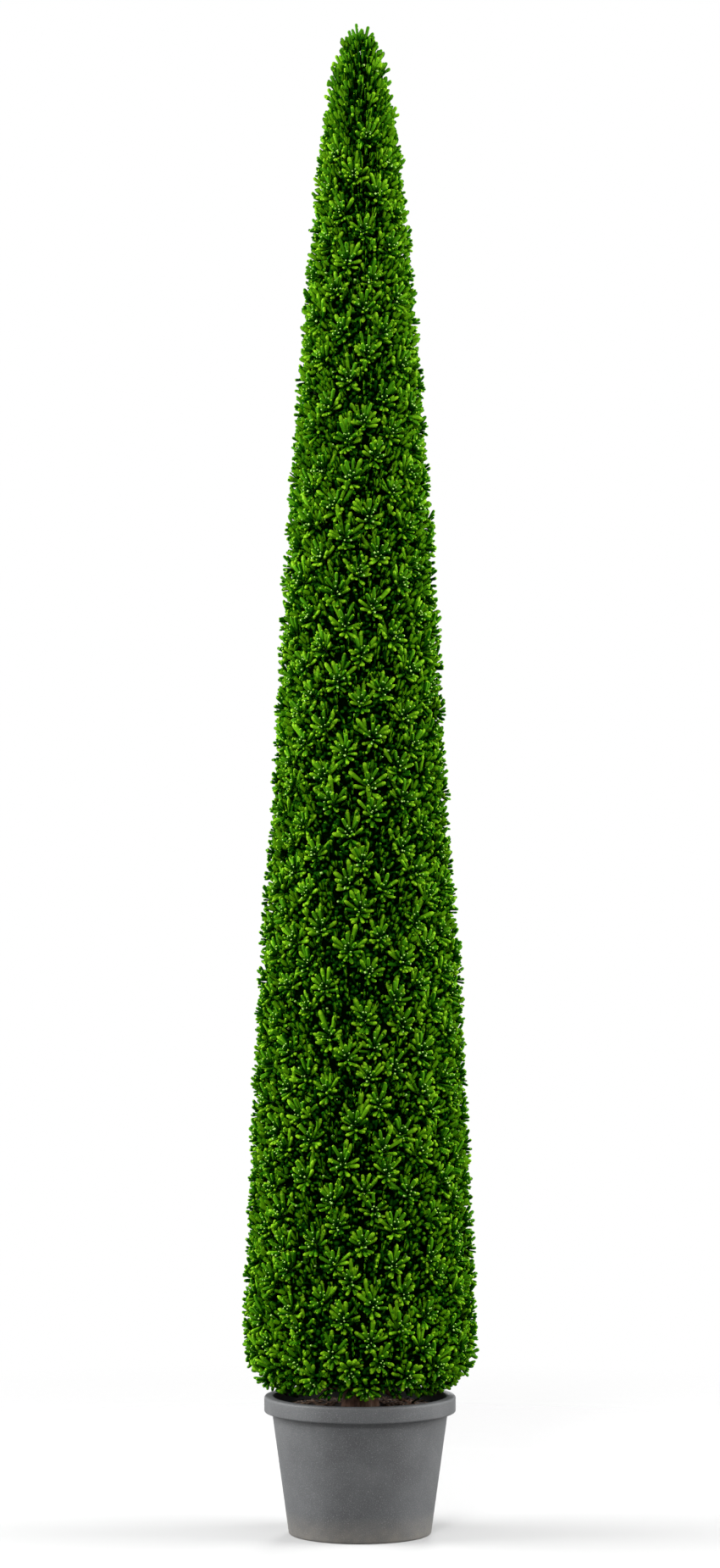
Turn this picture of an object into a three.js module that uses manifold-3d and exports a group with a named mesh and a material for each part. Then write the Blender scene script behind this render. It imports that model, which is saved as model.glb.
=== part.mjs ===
// A tall, narrow arborvitae in a plain round pot.
// Millimetres, +Z up. The origin is the middle of the pot's flat underside.
// A single tapering trunk stands in the potting soil and runs up through the crown. The crown is a dense
// obelisk of foliage, split into masses that stand in tiers round the trunk. Each mass is a small dense core
// on one stem, with blunt sprays standing out of it as far as the crown's outline.
import * as THREE from "three";
import { mergeVertices } from "three/addons/utils/BufferGeometryUtils.js";
import Module from "manifold-3d";

const wasm = await Module();
wasm.setup();

// Driving dimensions
const FOOT = 304.8;
const CROWN_HEIGHT = 15 * FOOT; // from the lowest sprays to the tip
const CROWN_RADIUS = 383; // scale of the outline, see crownRadius
const TOUCHING = 0.35; // gap between faces that touch

// Pot
const POT_HEIGHT = 460;
const POT_FOOT_RADIUS = 238;
const POT_SHOULDER_RADIUS = 294; // of the wall, where it meets the rim band
const POT_RIM_RADIUS = 320;
const POT_RIM_BAND = 54; // height of the rim band
const POT_WALL = 14;
const POT_FLOOR = 18;
const POT_CHAMFER = 6;
const POT_SIDES = 40;
const DRAIN_COUNT = 5;
const DRAIN_RADIUS = 9;
const DRAIN_CIRCLE = 130; // radius of the ring of drain holes

// Soil
const SOIL_TOP = 424;
const SOIL_DIP = 7; // how much lower the soil is at the wall
const SOIL_FLAT_RADIUS = 90; // level patch that the trunk stands on

// Crown
const CROWN_BOTTOM = POT_HEIGHT + 12;
const CROWN_TOP = CROWN_BOTTOM + CROWN_HEIGHT;
const TAPER_POWER = 0.44; // the radius grows with this power of the distance below the tip
const LOWER_FULLNESS = 0.05; // the lower half is this much fuller than the power says
const FOOT_ROUND_HEIGHT = 200; // the crown's lower edge is rounded over this height
const FOOT_ROUND_START = 0.66; // share of the radius at the very bottom

// Trunk
const TRUNK_FOOT = SOIL_TOP + TOUCHING;
const TRUNK_TIP = CROWN_TOP - 290;
const TRUNK_RADIUS = 46;
const TRUNK_TIP_RADIUS = 5;
const FLARE_RADIUS = 18; // added at the soil by the root flare
const FLARE_HEIGHT = 90; // the flare fades over this height
const TRUNK_SWAY = 9; // sideways wander of the trunk's line
const TRUNK_SIDES = 10;
const TRUNK_STEPS = 22;

// Masses: tiers of sectors, from the bottom up, and the leader at the top
const TIER_SECTORS = [4, 4, 4, 4, 3, 3, 3, 3];
const FIRST_TIER_HEIGHT = 690;
const TIER_SHRINK = 0.925; // each tier's height to the one below
const TIER_SLOPE = 0.5; // tiers rise outwards by this much per unit of radius, as the sprays do
const SECTOR_TURN = 0.5; // each tier starts this share of a sector further round
const SPACE_GAP = 6; // from a mass to the edge of its space
const ROOT_GAP = 15; // from a spray's root to the edge of the space
const CORE_INNER_SHARE = 0.42; // inner radius of a core, as a share of its outer radius
const CORE_TRUNK_GAP = 16; // least gap from a core to the trunk
const CORE_LIFT = 34; // the lowest cores stop this far above the crown's bottom
const CORE_LUMPS = 7; // bumps on a core's outer face
const CORE_STEP = THREE.MathUtils.degToRad(30); // a core's faces span this angle
const CORE_LEVELS = 4; // and this many of them stand one above the other
const SETTLING_ROUNDS = 12; // a corner's height and radius depend on each other, and settle in these
const ROUNDED_LEVELS = 1.6; // the lowest cores crowd their levels towards the rounded edge by this power
const LEADER_SIDES = 8;
const STEM_SHARE = 0.55; // a stem's radius at the trunk, as a share of the trunk's
const STEM_TAPER = 0.6; // its radius at the core, as a share of that
const STEM_CLIMB = 0.8; // it rises by this much per unit of radius
const STEM_SIDES = 5;

// Sprays
const SPRAY_COUNT = 560;
const HEIGHT_SLICES = 2000; // the crown's surface is added up in this many slices
const SPRAY_SHORTEST = 60;
const SPRAY_LONGEST = 230;
const SPRAY_STEP = 4; // lengths are tried in this step
const SPRAY_REACH = 72; // how far the sprays stand out of the core, at most
const SPRAY_REACH_SHARE = 0.34; // and as a share of the crown's radius
const SPRAY_SUNK = 26; // how deep a spray's root lies in the core, at most
const SPRAY_SUNK_SHARE = 0.3; // and as a share of the crown's radius
const SPRAY_WIDTH = 122; // at most
const SPRAY_WIDTH_SHARE = 0.48; // and as a share of the crown's radius
const SPRAY_FLATNESS = 0.5; // its thickness, as a share of its width
const SPRAY_WAIST = 0.68; // the widest place, as a share of the length from the root
const SPRAY_LIFT = THREE.MathUtils.degToRad(27); // above the horizon, on most of the crown
const SPRAY_DROOP = THREE.MathUtils.degToRad(-34); // at the crown's very bottom
const SPRAY_ERECT = THREE.MathUtils.degToRad(84); // at the tip
const ERECT_HEIGHT = 520; // sprays turn upright over this height below the tip
const TOP_SPRAY_LENGTH = 130;
const NUDGE_UP = 13; // a spray that doesn't fit is tried this much higher or lower
const NUDGE_ROUND = 22; // and this much further round
const NUDGES = [0, 1, -1, 2, -2, 3, -3]; // times these numbers
const GOLDEN_ANGLE = Math.PI * (3 - Math.sqrt(5));
const SEED = 52417;

const BARK = new THREE.MeshStandardMaterial({ color: 0x6b4a34, roughness: 0.9, metalness: 0 });
const LEAF = new THREE.MeshStandardMaterial({ color: 0x3f8a14, roughness: 0.6, metalness: 0 });
const SOIL = new THREE.MeshStandardMaterial({ color: 0x2c211a, roughness: 1, metalness: 0 });
const CLAY = new THREE.MeshStandardMaterial({ color: 0x4a4b4d, roughness: 0.75, metalness: 0 });

// A repeatable stream of numbers from 0 to 1 for one seed.
function seededRandom(seed) {
  let state = seed >>> 0;
  return () => {
    state = (state + 0x6d2b79f5) >>> 0;
    let mixed = Math.imul(state ^ (state >>> 15), 1 | state);
    mixed = (mixed + Math.imul(mixed ^ (mixed >>> 7), 61 | mixed)) ^ mixed;
    return ((mixed ^ (mixed >>> 14)) >>> 0) / 4294967296;
  };
}

const random = seededRandom(SEED);
const jitter = (amount) => (2 * random() - 1) * amount;

// The crown's outline: a power of the distance below the tip, a little fuller in the lower half, with the
// lower edge rounded under.
function crownRadius(z) {
  const share = THREE.MathUtils.clamp((CROWN_TOP - z) / CROWN_HEIGHT, 0, 1);
  const fuller = 1 + LOWER_FULLNESS * THREE.MathUtils.smoothstep(share, 0.55, 0.72);
  const rise = THREE.MathUtils.clamp((z - CROWN_BOTTOM) / FOOT_ROUND_HEIGHT, 0, 1);
  const round = FOOT_ROUND_START + (1 - FOOT_ROUND_START) * Math.sqrt(1 - (1 - rise) ** 2);
  return CROWN_RADIUS * share ** TAPER_POWER * fuller * round;
}

// The outer radius of the cores, which the sprays stand out of.
function coreRadius(z) {
  const radius = crownRadius(z);
  return radius - Math.min(SPRAY_REACH, SPRAY_REACH_SHARE * radius);
}

// The trunk's line wanders a little, and ends over its foot.
function trunkCentre(z) {
  const share = (z - TRUNK_FOOT) / (TRUNK_TIP - TRUNK_FOOT);
  return new THREE.Vector3(
    TRUNK_SWAY * Math.sin(2.6 * Math.PI * share),
    TRUNK_SWAY * 0.7 * Math.sin(1.8 * Math.PI * share + 0.6) - TRUNK_SWAY * 0.7 * Math.sin(0.6),
    z,
  );
}

function trunkRadius(z) {
  const share = THREE.MathUtils.clamp((z - TRUNK_FOOT) / (TRUNK_TIP - TRUNK_FOOT), 0, 1);
  const flare = FLARE_RADIUS * Math.exp(-(z - TRUNK_FOOT) / FLARE_HEIGHT);
  return THREE.MathUtils.lerp(TRUNK_RADIUS, TRUNK_TIP_RADIUS, share) + flare;
}

// How far a spray rises above the horizon: drooping at the foot, upright at the tip.
function sprayRise(z) {
  const up = THREE.MathUtils.smoothstep(z, CROWN_TOP - ERECT_HEIGHT, CROWN_TOP);
  const down = 1 - THREE.MathUtils.smoothstep(z, CROWN_BOTTOM, CROWN_BOTTOM + 1.3 * FOOT_ROUND_HEIGHT);
  return SPRAY_LIFT + up * (SPRAY_ERECT - SPRAY_LIFT) + down * (SPRAY_DROOP - SPRAY_LIFT);
}

// Moves each vertex of a geometry by a function of its position.
function reshape(geometry, place) {
  const position = geometry.getAttribute("position");
  const point = new THREE.Vector3();
  for (let i = 0; i < position.count; i++) {
    const moved = place(point.fromBufferAttribute(position, i));
    position.setXYZ(i, moved.x, moved.y, moved.z);
  }
  return geometry;
}

// A plain shape whose faces share their corners. It is welded before it is bent or turned.
function welded(geometry) {
  geometry.deleteAttribute("normal");
  geometry.deleteAttribute("uv");
  return mergeVertices(geometry, 1e-3);
}

// A welded geometry as a solid that can be joined and cut.
function solidOf(geometry) {
  const vertProperties = new Float32Array(geometry.getAttribute("position").array);
  const triVerts = new Uint32Array(geometry.index.array);
  return new wasm.Manifold(new wasm.Mesh({ numProp: 3, vertProperties, triVerts }));
}

// A solid as a flat-shaded geometry.
function geometryOf(solid) {
  const { numProp, vertProperties, triVerts } = solid.getMesh();
  const corners = new Float32Array(triVerts.length * 3);
  triVerts.forEach((vertex, i) => {
    corners.set(vertProperties.subarray(vertex * numProp, vertex * numProp + 3), 3 * i);
  });
  const geometry = new THREE.BufferGeometry();
  geometry.setAttribute("position", new THREE.BufferAttribute(corners, 3));
  geometry.computeVertexNormals();
  return geometry;
}

// A shape turned round the Z axis from radius and height pairs, with flat sides.
function turned(profile, sides) {
  const points = profile.map(([radius, height]) => new THREE.Vector2(radius, height));
  return welded(new THREE.LatheGeometry(points, sides)).rotateX(Math.PI / 2);
}

// Pot
function potInnerRadius(z) {
  const wallHeight = POT_HEIGHT - POT_RIM_BAND;
  const slope = (POT_SHOULDER_RADIUS - POT_FOOT_RADIUS) / wallHeight;
  return POT_FOOT_RADIUS - POT_WALL + slope * z;
}

function makePot() {
  const bandFoot = POT_HEIGHT - POT_RIM_BAND;
  const shell = turned(
    [
      [0, 0],
      [POT_FOOT_RADIUS - POT_CHAMFER, 0],
      [POT_FOOT_RADIUS, POT_CHAMFER],
      [POT_SHOULDER_RADIUS, bandFoot],
      [POT_RIM_RADIUS - POT_CHAMFER, bandFoot],
      [POT_RIM_RADIUS, bandFoot + POT_CHAMFER],
      [POT_RIM_RADIUS, POT_HEIGHT - POT_CHAMFER],
      [POT_RIM_RADIUS - POT_CHAMFER, POT_HEIGHT],
      [potInnerRadius(POT_HEIGHT) + POT_CHAMFER, POT_HEIGHT],
      [potInnerRadius(POT_HEIGHT - POT_CHAMFER), POT_HEIGHT - POT_CHAMFER],
      [potInnerRadius(POT_FLOOR), POT_FLOOR],
      [0, POT_FLOOR],
    ],
    POT_SIDES,
  );
  let pot = solidOf(shell);
  for (let i = 0; i < DRAIN_COUNT; i++) {
    const angle = (2 * Math.PI * i) / DRAIN_COUNT;
    const drill = welded(new THREE.CylinderGeometry(DRAIN_RADIUS, DRAIN_RADIUS, 3 * POT_FLOOR, 8))
      .rotateX(Math.PI / 2)
      .translate(DRAIN_CIRCLE * Math.cos(angle), DRAIN_CIRCLE * Math.sin(angle), 0);
    pot = pot.subtract(solidOf(drill));
  }
  return geometryOf(pot);
}

function makeSoil() {
  const floor = POT_FLOOR + TOUCHING;
  const edge = SOIL_TOP - SOIL_DIP;
  return turned(
    [
      [0, floor],
      [potInnerRadius(floor) - TOUCHING, floor],
      [potInnerRadius(edge) - TOUCHING, edge],
      [SOIL_FLAT_RADIUS, SOIL_TOP],
      [0, SOIL_TOP],
    ],
    POT_SIDES,
  );
}

// The trunk as a tapering limb, fattened by spare all round.
function trunkShape(spare) {
  const height = TRUNK_TIP - TRUNK_FOOT;
  const limb = welded(new THREE.CylinderGeometry(1, 1, height, TRUNK_SIDES, TRUNK_STEPS));
  limb.rotateX(Math.PI / 2);
  const end = height / 2;
  return reshape(limb, (point) => {
    const z = TRUNK_FOOT + end + point.z;
    const along = Math.abs(point.z) > end - 1e-6 ? Math.sign(point.z) * spare : 0;
    const radius = trunkRadius(z) + spare;
    return trunkCentre(z).add(new THREE.Vector3(point.x * radius, point.y * radius, along));
  });
}

// The spaces of the masses. Each is bounded by two upright planes through the axis and two cones, where
// level = z - TIER_SLOPE * radius runs from bottom to top.
const levelAt = (z, radius) => z - TIER_SLOPE * radius;

function crownSpaces() {
  const spaces = [];
  let bottom = CROWN_BOTTOM;
  let height = FIRST_TIER_HEIGHT;
  TIER_SECTORS.forEach((sectors, tier) => {
    const top = bottom + height;
    for (let i = 0; i < sectors; i++) {
      const width = (2 * Math.PI) / sectors;
      const start = (i + SECTOR_TURN * tier) * width;
      spaces.push({
        name: `foliage_tier${tier + 1}_${"abcd"[i]}`,
        low: tier ? levelAt(bottom, crownRadius(bottom)) : -Infinity,
        high: levelAt(top, crownRadius(top)),
        start,
        width,
      });
    }
    bottom = top;
    height *= TIER_SHRINK;
  });
  spaces.push({
    name: "foliage_leader",
    low: levelAt(bottom, crownRadius(bottom)),
    high: Infinity,
    start: 0,
    width: 2 * Math.PI,
  });
  return spaces;
}

// The angle from a space's start, from 0 to a full turn.
function angleFrom(start, point) {
  return THREE.MathUtils.euclideanModulo(Math.atan2(point.y, point.x) - start, 2 * Math.PI);
}

// Whether a point lies inside a space, at least gap from its edges.
function isInside(space, point, gap) {
  const radius = Math.hypot(point.x, point.y);
  const level = levelAt(point.z, radius);
  if (level < space.low + gap || level > space.high - gap) return false;
  if (space.width === 2 * Math.PI) return true;
  const angle = angleFrom(space.start, point);
  if (angle > space.width) return false;
  return radius * Math.sin(Math.min(angle, space.width - angle, Math.PI / 2)) >= gap;
}

// Cores
function coreInnerRadius(z) {
  return Math.max(CORE_INNER_SHARE * coreRadius(z), trunkRadius(z) + TRUNK_SWAY + CORE_TRUNK_GAP);
}

// A box bent round the trunk: x runs back round it, y outwards and z upwards through the space.
function coreShape(space) {
  const block = welded(new THREE.BoxGeometry(1, 1, 1, Math.round(space.width / CORE_STEP), 1, CORE_LEVELS));
  const isLowest = space.low === -Infinity;
  return reshape(block, ({ x, y, z }) => {
    const rise = (z + 0.5) ** (isLowest ? ROUNDED_LEVELS : 1);
    const heightAt = (radius) => {
      const bottom = isLowest ? CROWN_BOTTOM + CORE_LIFT : space.low + SPACE_GAP + TIER_SLOPE * radius;
      return THREE.MathUtils.lerp(bottom, space.high - SPACE_GAP + TIER_SLOPE * radius, rise);
    };
    const radiusAt = y > 0 ? coreRadius : coreInnerRadius;
    let height = heightAt(0);
    for (let i = 0; i < SETTLING_ROUNDS; i++) {
      height = heightAt(radiusAt(height));
    }
    const radius = radiusAt(height) + (y > 0 ? jitter(CORE_LUMPS) : 0);
    const margin = SPACE_GAP / radius;
    const angle = space.start + margin + (0.5 - x) * (space.width - 2 * margin);
    return new THREE.Vector3(radius * Math.cos(angle), radius * Math.sin(angle), height);
  });
}

// The leader's core is a slim pointed cone that sits over the trunk's tip.
function leaderCoreShape(space) {
  const footRadius = 0.75 * coreRadius(space.low);
  const foot = space.low + SPACE_GAP + TIER_SLOPE * footRadius;
  const rise = CROWN_TOP - foot;
  const rings = [0.15, 0.4, 0.7].map((share) => [coreRadius(foot + share * rise), foot + share * rise]);
  return turned([[0, foot], [footRadius, foot], ...rings, [0, foot + 0.86 * rise]], LEADER_SIDES);
}

// A mass's stem: it leaves the trunk low in the space, and climbs outwards into the core.
function stemShape(space) {
  const bottom = Math.max(space.low, CROWN_BOTTOM + CORE_LIFT);
  const foot = trunkCentre(bottom + 0.3 * (space.high - bottom));
  const middle = space.start + space.width / 2;
  const reach = (coreInnerRadius(foot.z) + coreRadius(foot.z)) / 2;
  const rise = STEM_CLIMB * reach;
  const tip = new THREE.Vector3(reach * Math.cos(middle), reach * Math.sin(middle), foot.z + rise);
  const line = tip.clone().sub(foot);
  const turn = new THREE.Quaternion().setFromUnitVectors(
    new THREE.Vector3(0, 1, 0),
    line.clone().normalize(),
  );
  const radius = STEM_SHARE * trunkRadius(foot.z);
  return welded(new THREE.CylinderGeometry(STEM_TAPER * radius, radius, line.length(), STEM_SIDES))
    .applyQuaternion(turn)
    .translate(...foot.clone().addScaledVector(line, 0.5).toArray());
}

// Sprays
// The heights that share the crown's surface evenly, by adding up its area from the bottom.
function evenHeights(count) {
  const step = CROWN_HEIGHT / HEIGHT_SLICES;
  const sums = [0];
  for (let i = 0; i < HEIGHT_SLICES; i++) {
    sums.push(sums[i] + crownRadius(CROWN_BOTTOM + (i + 0.5) * step));
  }
  const heights = [];
  let slice = 0;
  for (let i = 0; i < count; i++) {
    const wanted = ((i + 0.5) / count) * sums[HEIGHT_SLICES];
    while (sums[slice + 1] < wanted) {
      slice++;
    }
    const part = (wanted - sums[slice]) / (sums[slice + 1] - sums[slice]);
    heights.push(CROWN_BOTTOM + (slice + part) * step);
  }
  return heights;
}

// A spray is an octahedron drawn out from its root to its tip, with its widest place nearer the tip.
function sprayShape(spray) {
  const { tip, direction, heading, length, roll } = spray;
  const side = new THREE.Vector3(-Math.sin(heading), Math.cos(heading), 0);
  const across = side.applyAxisAngle(direction, roll);
  const through = direction.clone().cross(across);
  const root = tip.clone().addScaledVector(direction, -length);
  const width = Math.min(SPRAY_WIDTH, SPRAY_WIDTH_SHARE * crownRadius(root.z));
  return reshape(welded(new THREE.OctahedronGeometry(1)), ({ x, y, z }) => {
    const along = Math.abs(z) < 0.5 ? SPRAY_WAIST : (z + 1) / 2;
    return root
      .clone()
      .addScaledVector(direction, along * length)
      .addScaledVector(across, (x * width) / 2)
      .addScaledVector(through, (y * width * SPRAY_FLATNESS) / 2);
  });
}

// The length that sinks the root in the core, or null where the core is out of reach.
function lengthIntoCore(tip, direction) {
  const sunk = Math.min(SPRAY_SUNK, SPRAY_SUNK_SHARE * crownRadius(tip.z));
  const lowest = CROWN_BOTTOM + CORE_LIFT + ROOT_GAP;
  const root = new THREE.Vector3();
  for (let length = SPRAY_SHORTEST; length <= SPRAY_LONGEST; length += SPRAY_STEP) {
    root.copy(tip).addScaledVector(direction, -length);
    const depth = coreRadius(root.z) - Math.hypot(root.x, root.y);
    if (depth >= sunk && root.z >= lowest) return length;
  }
  return null;
}

// A spray with its tip on the crown's outline at a height and angle.
function sprayAt(height, angle, rise, sideways, roll) {
  const radius = crownRadius(height);
  const tip = new THREE.Vector3(radius * Math.cos(angle), radius * Math.sin(angle), height);
  const heading = angle + sideways;
  const direction = new THREE.Vector3(
    Math.cos(rise) * Math.cos(heading),
    Math.cos(rise) * Math.sin(heading),
    Math.sin(rise),
  );
  return { tip, direction, heading, length: lengthIntoCore(tip, direction), roll };
}

// Whether the whole spray stays in the space, with its root well inside.
function sprayFits(space, spray) {
  if (!spray.length) return false;
  const root = spray.tip.clone().addScaledVector(spray.direction, -spray.length);
  if (!isInside(space, root, ROOT_GAP)) return false;
  const corners = sprayShape(spray).getAttribute("position");
  const corner = new THREE.Vector3();
  for (let i = 0; i < corners.count; i++) {
    corner.fromBufferAttribute(corners, i);
    if (!isInside(space, corner, SPACE_GAP) || corner.z < CROWN_BOTTOM) return false;
  }
  return true;
}

// Sprays climb the crown on one golden-angle spiral. One that would cross the edge of a space is moved a
// little up, down or round until it fits, and left out if it can't.
function growSprays(spaces) {
  const sprays = new Map(spaces.map((space) => [space, []]));
  evenHeights(SPRAY_COUNT).forEach((height, i) => {
    const angle = i * GOLDEN_ANGLE + jitter(0.1);
    const rise = sprayRise(height) + jitter(0.16);
    const sideways = jitter(0.2);
    const roll = jitter(Math.PI / 2);
    for (const up of NUDGES) {
      for (const round of NUDGES) {
        const moved = angle + (round * NUDGE_ROUND) / crownRadius(height);
        const spray = sprayAt(height + up * NUDGE_UP, moved, rise, sideways, roll);
        const space = spaces.find((one) => sprayFits(one, spray));
        if (space) {
          sprays.get(space).push(spray);
          return;
        }
      }
    }
  });
  return sprays;
}

// The topmost spray stands upright on the axis and ends at the very tip.
function topSpray() {
  const tip = new THREE.Vector3(0, 0, CROWN_TOP);
  return { tip, direction: new THREE.Vector3(0, 0, 1), heading: 0, length: TOP_SPRAY_LENGTH, roll: 0 };
}

// A mass: its core, stem and sprays fused, and cut clear of the trunk.
function makeMass(space, sprays, trunkRoom) {
  const isLeader = space.high === Infinity;
  const shapes = isLeader ? [leaderCoreShape(space)] : [coreShape(space), stemShape(space)];
  shapes.push(...(isLeader ? [...sprays, topSpray()] : sprays).map(sprayShape));
  return geometryOf(wasm.Manifold.union(shapes.map(solidOf)).subtract(trunkRoom));
}

function named(name, geometry, material) {
  const mesh = new THREE.Mesh(geometry, material);
  mesh.name = name;
  return mesh;
}

const plant = new THREE.Group();
plant.add(named("pot", makePot(), CLAY));
plant.add(named("soil", makeSoil(), SOIL));
plant.add(named("trunk", trunkShape(0), BARK));

const trunkRoom = solidOf(trunkShape(TOUCHING));
const spaces = crownSpaces();
const sprays = growSprays(spaces);
for (const space of spaces) {
  plant.add(named(space.name, makeMass(space, sprays.get(space), trunkRoom), LEAF));
}

export default plant;
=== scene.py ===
"""A tall, narrow arborvitae in a plain round pot, dressed for the picture.

Metres, +Z up, with the origin in the middle of the pot's flat underside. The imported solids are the
frame. Every solid is replaced by a finer piece that keeps its size and place: the pot, the soil,
the trunk with its bark, and for the crown its boughs, its twigs and its foliage. The foliage grows
by the rule that the solids follow: shoots climb the crown on one golden-angle spiral, spaced evenly
over its surface, and point outwards, a little up on most of the crown, upright at the tip and
drooping at the foot.
"""

import logging
import math
from dataclasses import dataclass, field, fields, replace
from enum import Enum
from typing import Self

import bpy
import numpy as np
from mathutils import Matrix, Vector
from numpy.typing import NDArray


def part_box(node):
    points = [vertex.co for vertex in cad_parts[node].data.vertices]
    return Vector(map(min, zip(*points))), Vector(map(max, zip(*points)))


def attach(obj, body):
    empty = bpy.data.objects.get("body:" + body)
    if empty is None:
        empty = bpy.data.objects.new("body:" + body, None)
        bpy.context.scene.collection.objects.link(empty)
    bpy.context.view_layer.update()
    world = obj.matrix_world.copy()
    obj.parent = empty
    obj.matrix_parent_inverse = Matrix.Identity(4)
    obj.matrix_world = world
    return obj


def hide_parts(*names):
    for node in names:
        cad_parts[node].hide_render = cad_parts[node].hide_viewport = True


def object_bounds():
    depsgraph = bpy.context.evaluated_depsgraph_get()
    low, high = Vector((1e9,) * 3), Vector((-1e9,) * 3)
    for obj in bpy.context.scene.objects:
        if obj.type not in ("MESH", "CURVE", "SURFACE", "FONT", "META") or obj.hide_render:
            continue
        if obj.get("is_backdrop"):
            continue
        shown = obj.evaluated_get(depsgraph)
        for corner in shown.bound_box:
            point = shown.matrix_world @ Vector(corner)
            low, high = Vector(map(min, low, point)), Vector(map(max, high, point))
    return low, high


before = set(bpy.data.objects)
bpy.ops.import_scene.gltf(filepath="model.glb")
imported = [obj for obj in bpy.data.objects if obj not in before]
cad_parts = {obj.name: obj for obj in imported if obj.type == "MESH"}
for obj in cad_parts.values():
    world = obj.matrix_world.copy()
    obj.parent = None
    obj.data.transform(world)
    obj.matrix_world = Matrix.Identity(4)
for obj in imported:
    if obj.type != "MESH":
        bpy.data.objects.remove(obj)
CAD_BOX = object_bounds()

LOG = logging.getLogger("arborvitae")
Array = NDArray[np.float64]
Indices = NDArray[np.int64]
Random = np.random.Generator
Material = bpy.types.Material
Node = bpy.types.Node
Socket = bpy.types.NodeSocket
Range = tuple[float, float]
Triple = tuple[float, float, float]
Stops = tuple[tuple[float, Triple], ...]
Groups = tuple[tuple[int, int], ...]

BODY = "root"
SEED = 52417
CROWN_OVER_RIM = 0.012
GOLDEN_ANGLE = math.pi * (3 - math.sqrt(5))
FULL_TURN = 2 * math.pi
NEXT_TO_NOTHING = 1e-9
UP = np.array([0.0, 0.0, 1.0])
LEVEL = np.array([1.0, 1.0, 0.0])


# Small helpers


def smoothstep(value: Array, low: float, high: float) -> Array:
    """A smooth rise from 0 at low to 1 at high: 3 t^2 - 2 t^3, with t the share of the way."""
    share = np.clip((value - low) / (high - low), 0.0, 1.0)
    return share * share * (3.0 - 2.0 * share)


def unit(vectors: Array) -> Array:
    """The vectors scaled to length 1, along their last axis."""
    return vectors / np.maximum(np.linalg.norm(vectors, axis=-1, keepdims=True), NEXT_TO_NOTHING)


def polar(radius: Array, angle: Array, height: Array) -> Array:
    """Points from their distance to the Z axis, their angle round it and their height."""
    height = height + 0.0 * radius * angle
    return np.stack([radius * np.cos(angle), radius * np.sin(angle), height], axis=-1)


def headings(angle: Array, rise: Array) -> Array:
    """Unit vectors that head along an angle round the Z axis and rise above the horizon."""
    flat = np.cos(rise)
    return np.stack([flat * np.cos(angle), flat * np.sin(angle), np.sin(rise)], axis=-1)


def turned(first: Array, second: Array, angle: Array) -> Array:
    """The first vectors turned towards the second ones: cos a * first + sin a * second."""
    return np.cos(angle)[..., None] * first + np.sin(angle)[..., None] * second


def bent(start: Array, middle: Array, end: Array, share: Array) -> Array:
    """Points on the curve (1-t)^2 start + 2 t (1-t) middle + t^2 end, with t the share."""
    return (1 - share) ** 2 * start + 2 * share * (1 - share) * middle + share**2 * end


def ring_angles(sides: int, shift: float = 0.0) -> Array:
    """Angles spaced evenly round a ring, shifted by a part of their spacing."""
    return FULL_TURN * (np.arange(sides) + shift) / sides


def spiral_angles(count: int, shift: float = 0.0) -> Array:
    """The angles of a golden-angle spiral, shifted along it by a part of a step."""
    return (np.arange(count) + shift) * GOLDEN_ANGLE


def crossways(axis: Array) -> tuple[Array, Array]:
    """Finds two directions at right angles to each axis.

    Args:
        axis: Unit vectors.

    Returns:
        A level unit vector for each, and one that points up the axis's upper side.
    """
    level = np.stack([-axis[..., 1], axis[..., 0], np.zeros_like(axis[..., 0])], axis=-1)
    upright = np.linalg.norm(level, axis=-1, keepdims=True) < NEXT_TO_NOTHING
    level = unit(np.where(upright, np.array([1.0, 0.0, 0.0]), level))
    return level, np.cross(axis, level)


@dataclass(frozen=True)
class Ripple:
    """A smooth unevenness that runs along and round a piece: a sum of sines.

    The sum lies between about -1 and 1 times its height.
    """

    waves: int
    along: float
    around: int
    height: float = 1.0

    def at(self, place: Array, angle: Array, rng: Random) -> Array:
        """Adds up the sines.

        Args:
            place: Metres along the piece.
            angle: Angles round it.
            rng: Draws how often each sine repeats both ways, from 1 to 5, and where it starts.

        Returns:
            The unevenness, with the broadcast shape of both.
        """
        total = 0.0
        for _ in range(self.waves):
            along, around = rng.integers(1, 6, 2)
            phase = along * self.along * place + around * self.around * angle
            total = total + np.sin(phase + rng.uniform(0, FULL_TURN))
        return self.height * total / (1.4 * math.sqrt(self.waves))


def put_in_scene(name: str, data: bpy.types.ID) -> bpy.types.Object:
    """Puts a mesh, a light or a camera into the scene.

    Args:
        name: The object's name.
        data: What it shows.

    Returns:
        The object.
    """
    thing = bpy.data.objects.new(name, data)
    bpy.context.scene.collection.objects.link(thing)
    return thing


def joined_fields(parts: list) -> list[NDArray]:
    """Each array that dataclass objects of one kind hold, joined from all of them."""
    names = [entry.name for entry in fields(parts[0])]
    return [np.concatenate([getattr(part, name) for part in parts]) for name in names]


# Meshes from arrays


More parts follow.
